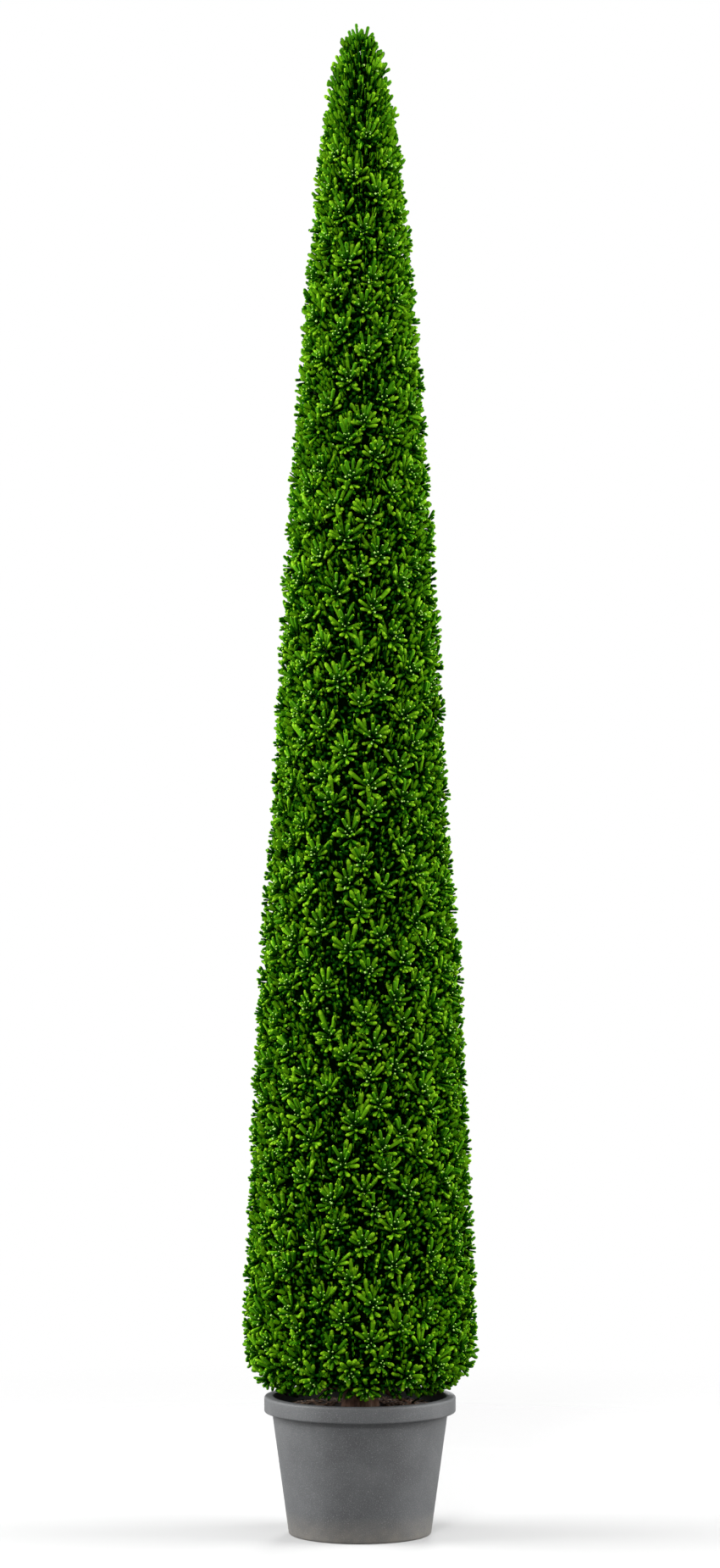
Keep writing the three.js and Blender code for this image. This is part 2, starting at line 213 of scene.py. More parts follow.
@dataclass
class Surface:
    """Points with four-cornered and three-cornered faces, and a material slot for each face."""

    points: Array
    quads: Indices
    triangles: Indices
    quad_slots: Indices
    triangle_slots: Indices

    @staticmethod
    def tubes(rings: Array, ends: Array) -> "Surface":
        """Closes stacks of rings to tubes, whose faces all take the first material slot.

        Args:
            rings: The points, of shape (tubes, rings, sides, 3). Each ring runs counter-clockwise
                as seen from its tube's tip.
            ends: The poles, base first, of shape (tubes, 2, 3).

        Returns:
            The tubes, each with its quads ring band by ring band from the base, and its triangles
            round the base pole and then round the tip.
        """
        count, stack, sides = rings.shape[:3]
        here = np.arange(sides)
        ahead = (here + 1) % sides
        band = np.arange(stack - 1)[:, None] * sides
        quads = np.stack([band + here, band + ahead, band + sides + ahead, band + sides + here], -1)
        last = (stack - 1) * sides
        base = np.stack([np.full(sides, stack * sides), ahead, here], axis=-1)
        tip = np.stack([np.full(sides, stack * sides + 1), last + here, last + ahead], axis=-1)
        offsets = (np.arange(count) * (stack * sides + 2))[:, None, None]
        quads = (quads.reshape(-1, 4) + offsets).reshape(-1, 4)
        triangles = (np.concatenate([base, tip]) + offsets).reshape(-1, 3)
        points = np.concatenate([rings.reshape(count, -1, 3), ends], axis=1).reshape(-1, 3)
        plain = np.zeros(len(quads), int), np.zeros(len(triangles), int)
        return Surface(points, quads, triangles, *plain)

    @staticmethod
    def joined(parts: list["Surface"]) -> "Surface":
        """Puts several surfaces into one, loose beside each other.

        Args:
            parts: The surfaces.

        Returns:
            The surface that holds them all.
        """
        moved: list[Surface] = []
        offset = 0
        for part in parts:
            quads, triangles = part.quads + offset, part.triangles + offset
            moved.append(replace(part, quads=quads, triangles=triangles))
            offset += len(part.points)
        return Surface(*joined_fields(moved))

    def triangle_count(self) -> int:
        """How many triangles the surface makes."""
        return 2 * len(self.quads) + len(self.triangles)

    def to_mesh(self, name: str, materials: list[Material]) -> bpy.types.Mesh:
        """Makes the surface a mesh with smooth shading.

        Args:
            name: The mesh's name.
            materials: One for each material slot that the faces use.

        Returns:
            The mesh.
        """
        corners = np.concatenate([self.quads.ravel(), self.triangles.ravel()]).astype(np.int32)
        sizes = np.repeat([4, 3], [len(self.quads), len(self.triangles)])
        slots = np.concatenate([self.quad_slots, self.triangle_slots]).astype(np.int32)
        mesh = bpy.data.meshes.new(name)
        mesh.vertices.add(len(self.points))
        mesh.vertices.foreach_set("co", self.points.astype(np.float32).ravel())
        mesh.loops.add(len(corners))
        mesh.loops.foreach_set("vertex_index", corners)
        mesh.polygons.add(len(sizes))
        mesh.polygons.foreach_set("loop_start", (np.cumsum(sizes) - sizes).astype(np.int32))
        mesh.polygons.foreach_set("material_index", slots)
        mesh.polygons.foreach_set("use_smooth", np.ones(len(sizes), bool))
        for material in materials:
            mesh.materials.append(material)
        mesh.update(calc_edges=True)
        mesh.validate()
        return mesh

    def to_piece(
        self, name: str, materials: list[Material], slot: str, nodes: list[str]
    ) -> bpy.types.Object:
        """Makes the surface a piece that rides on the plant and stands for some of its solids.

        Args:
            name: The piece's name.
            materials: One for each material slot that the faces use.
            slot: The record's material slot, which is not used.
            nodes: The solids that the piece replaces.

        Returns:
            The object, at the origin, with its place in its mesh.
        """
        piece = put_in_scene(name, self.to_mesh(name, materials))
        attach(piece, BODY)
        if nodes:
            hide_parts(*nodes)
        LOG.info("%s: %d triangles", name, self.triangle_count())
        return piece


def axis_ends(low: float, high: float) -> Array:
    """The two poles of one tube that stands on the Z axis, as Surface.tubes takes them."""
    return np.array([[[0.0, 0.0, low], [0.0, 0.0, high]]])


def swept_tubes(centres: Array, radii: Array, sides: int) -> Surface:
    """Carries round tubes along many paths at once.

    A ring stands square to its path at each point: centre + radius (cos a * level + sin a * upper).

    Args:
        centres: The paths' points, of shape (tubes, rings, 3).
        radii: The radius at each point, of shape (tubes, rings).
        sides: How many points each ring has.

    Returns:
        The tubes, closed at both ends.
    """
    level, upper = crossways(unit(np.gradient(centres, axis=1)))
    spokes = turned(level[:, :, None], upper[:, :, None], ring_angles(sides))
    rings = centres[:, :, None] + radii[:, :, None, None] * spokes
    return Surface.tubes(rings, centres[:, [0, -1]])


def turned_shell(profile: Array, sides: int) -> Surface:
    """Turns a profile round the Z axis.

    Args:
        profile: Radius and height pairs, from the bottom of the outside, outwards, up, and in to
            the top. The first and the last lie on the axis.
        sides: How many points there are round the axis.

    Returns:
        The closed shell, facing outwards.
    """
    radius, height = profile[1:-1].T[..., None]
    rings = polar(radius, ring_angles(sides), height)
    return Surface.tubes(rings[None], axis_ends(profile[0, 1], profile[-1, 1]))


def rounded_profile(corners: list[Triple], steps: int) -> Array:
    """Rounds a profile's corners by arcs.

    Args:
        corners: Radius, height and rounding of each corner. A rounding of 0 keeps it sharp.
        steps: How many points each rounded corner gets.

    Returns:
        The points. A rounded corner is the bent curve between the points on its two edges that
        lie at the rounding's distance from it.
    """
    places = np.array([corner[:2] for corner in corners])
    share = np.linspace(0, 1, steps)[:, None]
    points: list[Array] = []
    for i, (_, _, rounding) in enumerate(corners):
        if rounding == 0:
            points.append(places[i : i + 1])
            continue
        before, after = (
            places[i] + rounding * unit(places[beside] - places[i]) for beside in (i - 1, i + 1)
        )
        points.append(bent(before, places[i], after, share))
    return np.concatenate(points)


# Finishes


class NodeSheet:
    """A material's nodes, made and linked in short calls."""

    def __init__(self, name: str) -> None:
        """Starts a material with its surface shader.

        Args:
            name: The material's name.
        """
        self.material = bpy.data.materials.new(name)
        self.material.use_nodes = True
        self.tree = self.material.node_tree
        self.shader = self.tree.nodes["Principled BSDF"]

    def put(self, socket: Socket, value: object) -> None:
        """Feeds an input socket.

        Args:
            socket: The input.
            value: An output socket to link to it, or its own value.
        """
        if isinstance(value, Socket):
            self.tree.links.new(value, socket)
        else:
            socket.default_value = value

    def set(self, **values: object) -> None:
        """Sets or links the shader's sockets, named with _ for each space."""
        for key, value in values.items():
            self.put(self.shader.inputs[key.replace("_", " ")], value)

    def add(self, kind: str, inputs: dict[str | int, object], **settings: object) -> Node:
        """Adds a node.

        Args:
            kind: The node's type, without its ShaderNode.
            inputs: Values of its sockets, or output sockets to link to them.
            settings: Values of its own properties.

        Returns:
            The node.
        """
        node = self.tree.nodes.new(f"ShaderNode{kind}")
        for key, value in settings.items():
            setattr(node, key, value)
        for key, value in inputs.items():
            self.put(node.inputs[key], value)
        return node

    def place(self, stretch: Triple = (1, 1, 1)) -> Socket:
        """Object coordinates, stretched along the three axes."""
        place = self.add("TexCoord", {}).outputs["Object"]
        return self.add("Mapping", {"Vector": place, "Scale": stretch}).outputs["Vector"]

    def noise(self, place: Socket, scale: float, detail: float, coarse: float = 0.55) -> Socket:
        """A cloudy pattern from 0 to 1."""
        inputs = {"Vector": place, "Scale": scale, "Detail": detail, "Roughness": coarse}
        return self.add("TexNoise", inputs).outputs["Fac"]

    def maths(self, operation: str, first: object, second: object) -> Socket:
        """What an operation makes of two values."""
        return self.add("Math", {0: first, 1: second}, operation=operation).outputs[0]

    def mapped(self, value: Socket, source: Range, target: Range = (0.0, 1.0)) -> Socket:
        """A value moved evenly from one range to another, and held inside it."""
        names = ("Value", "From Min", "From Max", "To Min", "To Max")
        return self.add("MapRange", dict(zip(names, (value, *source, *target)))).outputs[0]

    def mixed(self, share: Socket, first: object, second: object) -> Socket:
        """Two colours mixed by the second one's share."""
        inputs = {"Factor": share, "A": first, "B": second}
        return self.add("Mix", inputs, data_type="RGBA").outputs["Result"]

    def ramp(self, value: Socket, stops: Stops) -> Socket:
        """Makes colours that follow a value.

        Args:
            value: The value, from 0 to 1.
            stops: Places from 0 to 1 with their colours.

        Returns:
            The colour.
        """
        node = self.add("ValToRGB", {"Fac": value})
        elements = node.color_ramp.elements
        while len(elements) < len(stops):
            elements.new(0.5)
        for element, (place, colour) in zip(elements, stops):
            element.position = place
            element.color = (*colour, 1)
        return node.outputs["Color"]

    def bump(self, height: Socket, distance: float, strength: float = 1.0) -> Socket:
        """A surface normal roughened by a height."""
        inputs = {"Height": height, "Distance": distance, "Strength": strength}
        return self.add("Bump", inputs).outputs["Normal"]


@dataclass(frozen=True)
class GrainFinish:
    """Wood, bark or soil: dull, with a colour and a relief that follow one cloudy grain.

    Fibres are a second grain, finer by that factor, which is added to the relief.
    """

    name: str
    colours: Stops
    scale: float
    detail: float
    roughness: float
    coarse: float = 0.55
    upward: float = 1.0
    fibres: float = 0.0
    fibre_detail: float = 3
    relief: float = 0.0
    relief_strength: float = 1.0
    gloss: float = 0.5

    def make(self) -> Material:
        """Makes the material.

        Returns:
            The material.
        """
        sheet = NodeSheet(self.name)
        place = sheet.place((1, 1, self.upward))
        grain = sheet.noise(place, self.scale, self.detail, self.coarse)
        colour = sheet.ramp(grain, self.colours)
        sheet.set(Base_Color=colour, Roughness=self.roughness, Specular_IOR_Level=self.gloss)
        if self.fibres:
            finer = sheet.noise(place, self.fibres * self.scale, self.fibre_detail)
            grain = sheet.maths("ADD", grain, finer)
        if self.relief:
            sheet.set(Normal=sheet.bump(grain, self.relief, self.relief_strength))
        return sheet.material


BARK = GrainFinish(
    "fibrous_bark",
    (
        (0.3, (0.035, 0.016, 0.010)),
        (0.48, (0.13, 0.062, 0.035)),
        (0.62, (0.21, 0.12, 0.075)),
        (0.75, (0.30, 0.24, 0.19)),
    ),
    scale=60, detail=6, coarse=0.62, upward=0.09, fibres=4, roughness=0.88,
    relief=0.004, relief_strength=0.7,
)
YOUNG_WOOD = GrainFinish(
    "young_wood", ((0.35, (0.008, 0.008, 0.003)), (0.65, (0.005, 0.015, 0.003))),
    scale=22, detail=3, roughness=0.85, gloss=0.05,
)
POTTING_MIX = GrainFinish(
    "potting_mix",
    ((0.35, (0.008, 0.005, 0.003)), (0.55, (0.035, 0.02, 0.012)), (0.72, (0.09, 0.055, 0.03))),
    scale=160, detail=5, coarse=0.7, roughness=0.92, relief=0.006,
)
BARK_CHIPS = GrainFinish(
    "bark_chips", ((0.35, (0.05, 0.026, 0.014)), (0.65, (0.16, 0.09, 0.05))),
    scale=60, detail=4, roughness=0.85, relief=0.003,
)


@dataclass(frozen=True)
class ShadeCoreFinish:
    """The crown's dark inside: old scale foliage packed between the boughs, whose near-black colour
    is painted shade.
    """

    name: str = "inner_foliage_painted_shade"
    ends_per_metre: float = 62.0
    clumps_per_metre: float = 16.0
    clump_range: Range = (0.3, 0.7)
    clump_shade: Range = (0.28, -0.12)
    # Near-black greens: painted shade for the gaps deep in the crown.
    colours: Stops = (
        (0.12, (0.006, 0.046, 0.0015)),
        (0.36, (0.002, 0.019, 0.0006)),
        (0.52, (0.0002, 0.0016, 0.0001)),
    )
    relief: float = 0.008

    def make(self) -> Material:
        """Makes the material, whose colour darkens away from the leaves' ends and in the clumps, as
        painted shade.

        Returns:
            The material.
        """
        sheet = NodeSheet(self.name)
        place = sheet.place()
        cells = sheet.add("TexVoronoi", {"Vector": place, "Scale": self.ends_per_metre})
        ends = cells.outputs["Distance"]
        clumps = sheet.noise(place, self.clumps_per_metre, 3, 0.6)
        # How much painted shade: more away from the leaves' ends and within the clumps.
        depth = sheet.maths("ADD", ends, sheet.mapped(clumps, self.clump_range, self.clump_shade))
        normal = sheet.bump(sheet.maths("SUBTRACT", 1.0, ends), self.relief)
        colour = sheet.ramp(depth, self.colours)
        sheet.set(Base_Color=colour, Roughness=1.0, Specular_IOR_Level=0.0, Normal=normal)
        return sheet.material


@dataclass(frozen=True)
class ClayFinish:
    """Dark grey fibre clay: fine sandy grain, soft clouds in its colour, and dust low down."""

    name: str = "grey_fibre_clay"
    clouds_per_metre: float = 7.0
    grains_per_metre: float = 420.0
    colours: Stops = (
        (0.3, (0.027, 0.028, 0.030)),
        (0.55, (0.038, 0.040, 0.042)),
        (0.75, (0.053, 0.054, 0.056)),
    )
    speck_range: Range = (0.58, 0.72)
    speck: Triple = (0.11, 0.11, 0.11)
    dust: Triple = (0.11, 0.098, 0.080)
    dust_height: float = 0.09
    dust_patches_per_metre: float = 30.0
    roughness: Range = (0.58, 0.8)
    relief: float = 0.0015

    def make(self) -> Material:
        """Makes the material.

        Returns:
            The material.
        """
        sheet = NodeSheet(self.name)
        place = sheet.place()
        clouds = sheet.noise(place, self.clouds_per_metre, 6, 0.6)
        grain = sheet.noise(place, self.grains_per_metre, 2, 0.5)
        specks = sheet.mapped(grain, self.speck_range)
        speckled = sheet.mixed(specks, sheet.ramp(clouds, self.colours), (*self.speck, 1))
        height = sheet.add("SeparateXYZ", {"Vector": place}).outputs["Z"]
        low = sheet.mapped(height, (self.dust_height, 0.0))
        patches = sheet.noise(place, self.dust_patches_per_metre, 4)
        dusty = sheet.mixed(sheet.maths("MULTIPLY", low, patches), speckled, (*self.dust, 1))
        sheet.set(
            Base_Color=dusty,
            Roughness=sheet.mapped(clouds, (0.0, 1.0), self.roughness),
            Normal=sheet.bump(grain, self.relief, 0.5),
        )
        return sheet.material


@dataclass(frozen=True)
class LeafFinish:
    """Scale foliage of one plain green with a soft waxy gloss."""

    name: str
    colour: Triple
    roughness: float
    gloss: float

    def make(self) -> Material:
        """Makes the material.

        Returns:
            The material.
        """
        sheet = NodeSheet(self.name)
        colour = (*self.colour, 1)
        sheet.set(Base_Color=colour, Roughness=self.roughness, Specular_IOR_Level=self.gloss)
        return sheet.material


class Green(Enum):
    """The greens of the foliage, from the near-black of the inside, which is painted shade, to the
    palest tips, which are partly pale new growth and partly painted highlight.
    """

    DEEP = LeafFinish("leaf_deep_green", (0.0004, 0.0065, 0.0002), 0.8, 0.0)
    SHADE = LeafFinish("leaf_shade_green", (0.0017, 0.0190, 0.0006), 0.7, 0.0)
    MIDDLE = LeafFinish("leaf_middle_green", (0.0062, 0.0480, 0.0008), 0.6, 0.0)
    FRESH = LeafFinish("leaf_fresh_green", (0.027, 0.108, 0.0014), 0.5, 0.01)
    CLEAR = LeafFinish("leaf_clear_green", (0.064, 0.184, 0.0022), 0.48, 0.015)
    BRIGHT = LeafFinish("leaf_bright_green", (0.116, 0.250, 0.0050), 0.45, 0.02)
    PALE = LeafFinish("leaf_pale_tip", (0.24, 0.38, 0.09), 0.45, 0.05)


class Tone(Enum):
    """How greens follow a finger of foliage: at its base, along its three bands, on its tip.

    A dark base is painted shade where the fingers crowd, and a bright or pale tip is partly
    painted highlight. The sunlit tone and the darker ones for lower and deeper fingers are lit and
    shaded copies of one green, painted light; the flank and pad tones end in a darker tip, painted
    shade for fingers seen end-on.
    """

    SUNLIT = (Green.DEEP, Green.FRESH, Green.CLEAR, Green.BRIGHT, Green.BRIGHT)
    FRESH = (Green.DEEP, Green.MIDDLE, Green.FRESH, Green.FRESH, Green.BRIGHT)
    FLANK = (Green.DEEP, Green.SHADE, Green.FRESH, Green.FRESH, Green.SHADE)
    PAD = (Green.DEEP, Green.MIDDLE, Green.CLEAR, Green.CLEAR, Green.MIDDLE)
    DULL = (Green.DEEP, Green.SHADE, Green.MIDDLE, Green.MIDDLE, Green.FRESH)
    BUD = (Green.DEEP, Green.SHADE, Green.MIDDLE, Green.FRESH, Green.PALE)
    CHAIN = (Green.DEEP, Green.DEEP, Green.SHADE, Green.SHADE, Green.BRIGHT)
    NUB = (Green.DEEP, Green.DEEP, Green.SHADE, Green.SHADE, Green.FRESH)
    DIM = (Green.DEEP, Green.DEEP, Green.DEEP, Green.SHADE, Green.MIDDLE)


Chances = dict[Tone, float]
TONES = list(Tone)
TONE_SLOTS = np.array([[list(Green).index(green) for green in tone.value] for tone in TONES])


def tones_drawn(chances: Chances, shape: int | tuple[int, ...], rng: Random) -> Indices:
    """Tones drawn by their chances, which add up to 1, as their places in TONE_SLOTS."""
    return rng.choice([TONES.index(tone) for tone in chances], shape, p=list(chances.values()))


# The plant's lines, as the solids have them


@dataclass(frozen=True)
class CrownForm:
    """The crown's outline, the shoots' rise and the tiers of masses."""

    bottom: float
    top: float
    radius: float = 0.383
    taper_power: float = 0.44
    lower_fullness: float = 0.05
    fuller_between: Range = (0.55, 0.72)
    foot_height: float = 0.2
    foot_start: float = 0.66
    lift: float = math.radians(27)
    droop: float = math.radians(-34)
    droop_height: float = 0.26
    erect: float = math.radians(84)
    erect_height: float = 0.52
    tier_sectors: tuple[int, ...] = (4, 4, 4, 4, 3, 3, 3, 3)
    first_tier: float = 0.69
    tier_shrink: float = 0.925
    area_steps: int = 2001

    def outline(self, height: Array) -> Array:
        """The crown's radius at a height.

        A power of the distance below the tip, a little fuller in the lower half, times a quarter
        ellipse that rounds the lower edge under.

        Args:
            height: Heights above the ground.

        Returns:
            The radii.
        """
        share = np.clip((self.top - height) / (self.top - self.bottom), 0, 1)
        fuller = 1 + self.lower_fullness * smoothstep(share, *self.fuller_between)
        rise = np.clip((height - self.bottom) / self.foot_height, 0, 1)
        rounded = self.foot_start + (1 - self.foot_start) * np.sqrt(1 - (1 - rise) ** 2)
        return self.radius * share**self.taper_power * fuller * rounded

    def rise(self, height: Array) -> Array:
        """How far a shoot rises above the horizon: drooping at the foot, upright at the tip.

        Args:
            height: Heights above the ground.

        Returns:
            The angles: the lift, moved smoothly to the erect angle and to the droop.
        """
        up = smoothstep(height, self.top - self.erect_height, self.top)
        down = 1 - smoothstep(height, self.bottom, self.bottom + self.droop_height)
        return self.lift + up * (self.erect - self.lift) + down * (self.droop - self.lift)

    def even_heights(self, count: int) -> Array:
        """Finds heights that share the crown's surface evenly, by adding up its outline.

        Args:
            count: How many heights there are.

        Returns:
            The heights, from the bottom up.
        """
        edges = np.linspace(self.bottom, self.top, self.area_steps)
        area = np.concatenate([[0], np.cumsum(self.outline((edges[1:] + edges[:-1]) / 2))])
        return np.interp((np.arange(count) + 0.5) / count * area[-1], area, edges)

    def tier_tops(self) -> Array:
        """The heights at which the tiers of masses end, each a little lower than the one below."""
        shrink = self.tier_shrink ** np.arange(len(self.tier_sectors))
        return self.bottom + np.cumsum(self.first_tier * shrink)

    def tier_of(self, height: Array) -> Indices:
        """The tier that heights on the outline belong to, from 0 at the bottom to the leader."""
        return np.searchsorted(self.tier_tops(), height, side="right")

    def nodes_of(self, first: int, after: int) -> list[str]:
        """Names the solids of some tiers.

        Args:
            first: The first tier.
            after: The tier after the last.

        Returns:
            The solids' names.
        """
        names = [
            [f"foliage_tier{tier + 1}_{letter}" for letter in "abcd"[:sectors]]
            for tier, sectors in enumerate(self.tier_sectors)
        ]
        return sum([*names, ["foliage_leader"]][first:after], [])

    def all_nodes(self) -> list[str]:
        """The names of all the crown's solids."""
        return self.nodes_of(0, len(self.tier_sectors) + 1)


@dataclass(frozen=True)
class TrunkLine:
    """The trunk's wandering line and its taper."""

    foot: float
    tip: float
    radius: float = 0.046
    tip_radius: float = 0.005
    flare: float = 0.018
    flare_height: float = 0.09
    sway: tuple[float, float] = (0.009, 0.0063)
    half_waves: tuple[float, float] = (2.6, 1.8)
    start: float = 0.6

    def share(self, height: Array) -> Array:
        """How far up the trunk a height lies, from 0 at its foot to 1 at its tip."""
        return (height - self.foot) / (self.tip - self.foot)

    def centre(self, height: Array) -> Array:
        """Finds the middle of the trunk: two slow sines that start over its foot.

        Args:
            height: Heights above the ground.

        Returns:
            The points.
        """
        along, across = (math.pi * waves * self.share(height) for waves in self.half_waves)
        x = self.sway[0] * np.sin(along)
        y = self.sway[1] * (np.sin(across + self.start) - math.sin(self.start))
        return np.stack([x, y, height], axis=-1)

    def radius_at(self, height: Array) -> Array:
        """The trunk's radius: a straight taper, with a root flare that fades upwards.

        Args:
            height: Heights above the ground.

        Returns:
            The radii.
        """
        flare = self.flare * np.exp(-np.maximum(height - self.foot, 0) / self.flare_height)
        share = np.clip(self.share(height), 0, 1)
        return self.radius + (self.tip_radius - self.radius) * share + flare


# Pot, soil and trunk


@dataclass
class Pot:
    """The plain round pot: a tapering wall with a rolled rim band, a thick floor and drains."""

    height: float
    rim_radius: float
    foot_radius: float = 0.238
    shoulder_radius: float = 0.294
    band: float = 0.054
    wall: float = 0.014
    floor: float = 0.018
    edge: float = 0.006
    shoulder_edge: float = 0.003
    edge_points: int = 6
    wall_points: int = 10
    sides: int = 144
    underside_ring: float = 0.05
    drains: int = 5
    drain_radius: float = 0.009
    drain_circle: float = 0.13
    drain_sides: int = 24
    sharp: float = math.radians(32)

    def outer_radius(self, height: float | Array) -> float | Array:
        """The radius of the wall's outer face: a straight line from the foot to the shoulder."""
        slope = (self.shoulder_radius - self.foot_radius) / (self.height - self.band)
        return self.foot_radius + slope * height

    def inner_radius(self, height: float | Array) -> float | Array:
        """The radius of the wall's inner face, which runs beside the outer one."""
        return self.outer_radius(height) - self.wall

    def profile(self) -> Array:
        """Draws the wall's section with its edges rounded.

        Returns:
            Radius and height pairs, from the middle of the underside to the middle of the floor.
        """
        shoulder = self.height - self.band
        wall = np.linspace(2 * self.edge, shoulder - self.edge, self.wall_points)
        corners = [
            (0.0, 0.0, 0.0),
            (self.underside_ring, 0.0, 0.0),
            (self.drain_circle, 0.0, 0.0),
            (self.foot_radius, 0.0, self.edge),
            *((self.outer_radius(z), z, 0.0) for z in wall),
            (self.shoulder_radius, shoulder, self.shoulder_edge),
            (self.rim_radius, shoulder, self.edge),
            (self.rim_radius, self.height, 1.6 * self.edge),
            (self.inner_radius(self.height), self.height, 1.2 * self.edge),
            (self.inner_radius(self.floor), self.floor, 0.0),
            (self.drain_circle, self.floor, 0.0),
            (0.0, self.floor, 0.0),
        ]
        return rounded_profile(corners, self.edge_points)

    def drills(self) -> Surface:
        """Makes straight tubes that cut the drain holes.

        Returns:
            The tubes, which stand out of the floor on both sides.
        """
        foot = polar(self.drain_circle, ring_angles(self.drains), -self.floor)
        paths = np.stack([foot, foot + 3 * self.floor * UP], axis=1)
        return swept_tubes(paths, np.full((self.drains, 2), self.drain_radius), self.drain_sides)

    def build(self) -> None:
        """Turns the pot, cuts its drain holes and keeps its edges crisp."""
        shell = turned_shell(self.profile(), self.sides)
        piece = shell.to_piece("round_pot", [ClayFinish().make()], "pot", ["pot"])
        cutter = put_in_scene("drain_drills", self.drills().to_mesh("drain_drills", []))
        cut = piece.modifiers.new("drains", "BOOLEAN")
        cut.operation = "DIFFERENCE"
        cut.solver = "EXACT"
        cut.object = cutter
        evaluated = piece.evaluated_get(bpy.context.evaluated_depsgraph_get())
        finished = bpy.data.meshes.new_from_object(evaluated)
        piece.modifiers.clear()
        piece.data = finished
        bpy.data.objects.remove(cutter)
        finished.polygons.foreach_set("use_smooth", np.ones(len(finished.polygons), bool))
        finished.set_sharp_from_angle(angle=self.sharp)


@dataclass
class Soil:
    """The potting mix, with an uneven top that dips to the pot's wall."""

    pot: Pot
    top: float
    dip: float = 0.007
    gap: float = 0.0005
    shoulder: float = 0.003
    flat_radius: float = 0.09
    crumb_height: float = 0.0022
    crumbs: tuple[Ripple, ...] = (Ripple(12, 60, 2), Ripple(14, 190, 11, 0.7))
    crumb_limit: float = 1.6
    crumbs_from: Range = (0.065, 0.11)
    pole_ring: float = 0.004
    rings: int = 60
    sides: int = 160

    def reach(self) -> float:
        """The radius at which the soil's top ends."""
        return self.pot.inner_radius(self.top - self.dip) - 2 * self.gap

    def dip_at(self, radius: Array, reach: float) -> Array:
        """How far the soil has dipped at a radius: a smooth fall from its flat middle out."""
        return self.dip * smoothstep(radius, self.flat_radius, reach)

    def surface_height(self, radius: Array, angle: Array, rng: Random) -> Array:
        """Shapes the soil's top: level by the trunk, dipping to the wall, with crumbs.

        Args:
            radius: Distances from the middle.
            angle: Angles round it.
            rng: Draws the crumbs' ripples, coarse and fine.

        Returns:
            The heights.
        """
        dip = self.dip_at(radius, self.pot.inner_radius(self.top) - self.gap)
        crumbs = sum(each.at(radius, angle, rng) for each in self.crumbs)
        fade = self.crumb_height * smoothstep(radius, *self.crumbs_from)
        return self.top - dip + fade * np.clip(crumbs, -self.crumb_limit, self.crumb_limit)

    def build(self, rng: Random) -> None:
        """Makes the soil as one closed tube: up inside the wall, and in over the top.

        Args:
            rng: Draws its unevenness.
        """
        floor, edge = self.pot.floor + self.gap, self.top - self.dip
        angle = ring_angles(self.sides)
        height = np.array([[floor], [(floor + edge) / 2], [edge - self.shoulder]])
        wall = polar(self.pot.inner_radius(height) - self.gap, angle, height)
        radius = np.linspace(self.reach(), self.pole_ring, self.rings)[:, None]
        top = polar(radius, angle, self.surface_height(radius, angle, rng))
        surface = Surface.tubes(np.concatenate([wall, top])[None], axis_ends(floor, self.top))
        surface.to_piece("potting_soil", [POTTING_MIX.make()], "soil", ["soil"])


@dataclass
class Chips:
    """Flat bark chips, half sunk in the soil."""

    soil: Soil
    count: int = 700
    clear_of_trunk: float = 0.085
    clear_of_wall: float = 0.016
    raised: float = 0.0015
    tilt: float = 0.12
    back: Range = (0.005, 0.013)
    length: Range = (0.012, 0.028)
    width: Range = (0.006, 0.012)
    thickness: Range = (0.003, 0.005)

    def build(self, rng: Random) -> None:
        """Scatters the chips, each a short stubby tube of five sides.

        Args:
            rng: Draws their places, headings and sizes.
        """
        count, reach = self.count, self.soil.reach()
        inner, outer = self.clear_of_trunk, reach - self.clear_of_wall
        radius = np.sqrt(rng.uniform(inner**2, outer**2, count))
        angle = rng.uniform(0, FULL_TURN, count)
        height = self.soil.top - self.soil.dip_at(radius, reach) + self.raised
        along = headings(rng.uniform(0, FULL_TURN, count), rng.normal(0, self.tilt, count))
        chips = Fingers(
            base=polar(radius, angle, height) - along * rng.uniform(*self.back, (count, 1)),
            direction=along, side=crossways(along)[0], bend=np.zeros((count, 3)),
            length=rng.uniform(*self.length, count), width=rng.uniform(*self.width, count),
            thickness=rng.uniform(*self.thickness, count), tone=np.zeros(count, int),
        )
        surface = chips.surface(CHIP)
        surface.quad_slots[:] = 0
        surface.triangle_slots[:] = 0
        surface.to_piece("soil_bark_chips", [BARK_CHIPS.make()], "soil", [])


@dataclass
class Trunk:
    """The trunk with its bark: long strips that twist slowly round it, split by furrows."""

    line: TrunkLine
    strips: int = 11
    twist: float = 1.4
    bends: Ripple = Ripple(8, 3.2, 1, 0.8)
    flakes: Ripple = Ripple(14, 22, 5, 0.3)
    relief: float = 0.0024
    ridge_power: float = 0.6
    flutes: int = 5
    flute_depth: float = 0.06
    flute_height: float = 0.12
    flute_turn: float = 0.8
    rings: int = 420
    sides: int = 66

    def build(self, rng: Random) -> None:
        """Makes the trunk as one closed tube with the relief of its bark.

        Its radius is the taper, with flutes that fade above the foot, less a furrow where the
        strips meet. The strips are |sin| of half the angle times their number, bent by slow waves.

        Args:
            rng: Draws the waves and the flakes.
        """
        height = np.linspace(self.line.foot, self.line.tip, self.rings)[:, None]
        angle = ring_angles(self.sides)
        bends = self.twist * height + self.bends.at(height, angle, rng)
        ridge = np.abs(np.sin(0.5 * self.strips * angle + bends)) ** self.ridge_power
        flakes = self.flakes.at(height, angle, rng)
        taper = self.line.radius_at(height)
        slender = taper / self.line.radius
        fade = np.exp(-(height - self.line.foot) / self.flute_height)
        fluted = 1 + self.flute_depth * fade * np.cos(self.flutes * angle + self.flute_turn)
        bark = np.clip(slender, 0.1, 1) * (ridge - 0.6 + flakes) - 0.3 * slender
        centre = self.line.centre(height)
        rings = centre + polar(taper * fluted + self.relief * bark, angle, 0.0)
        surface = Surface.tubes(rings[None], centre[[0, -1], 0][None])
        surface.to_piece("trunk_with_bark", [BARK.make()], "bark", ["trunk"])


# Fingers of foliage


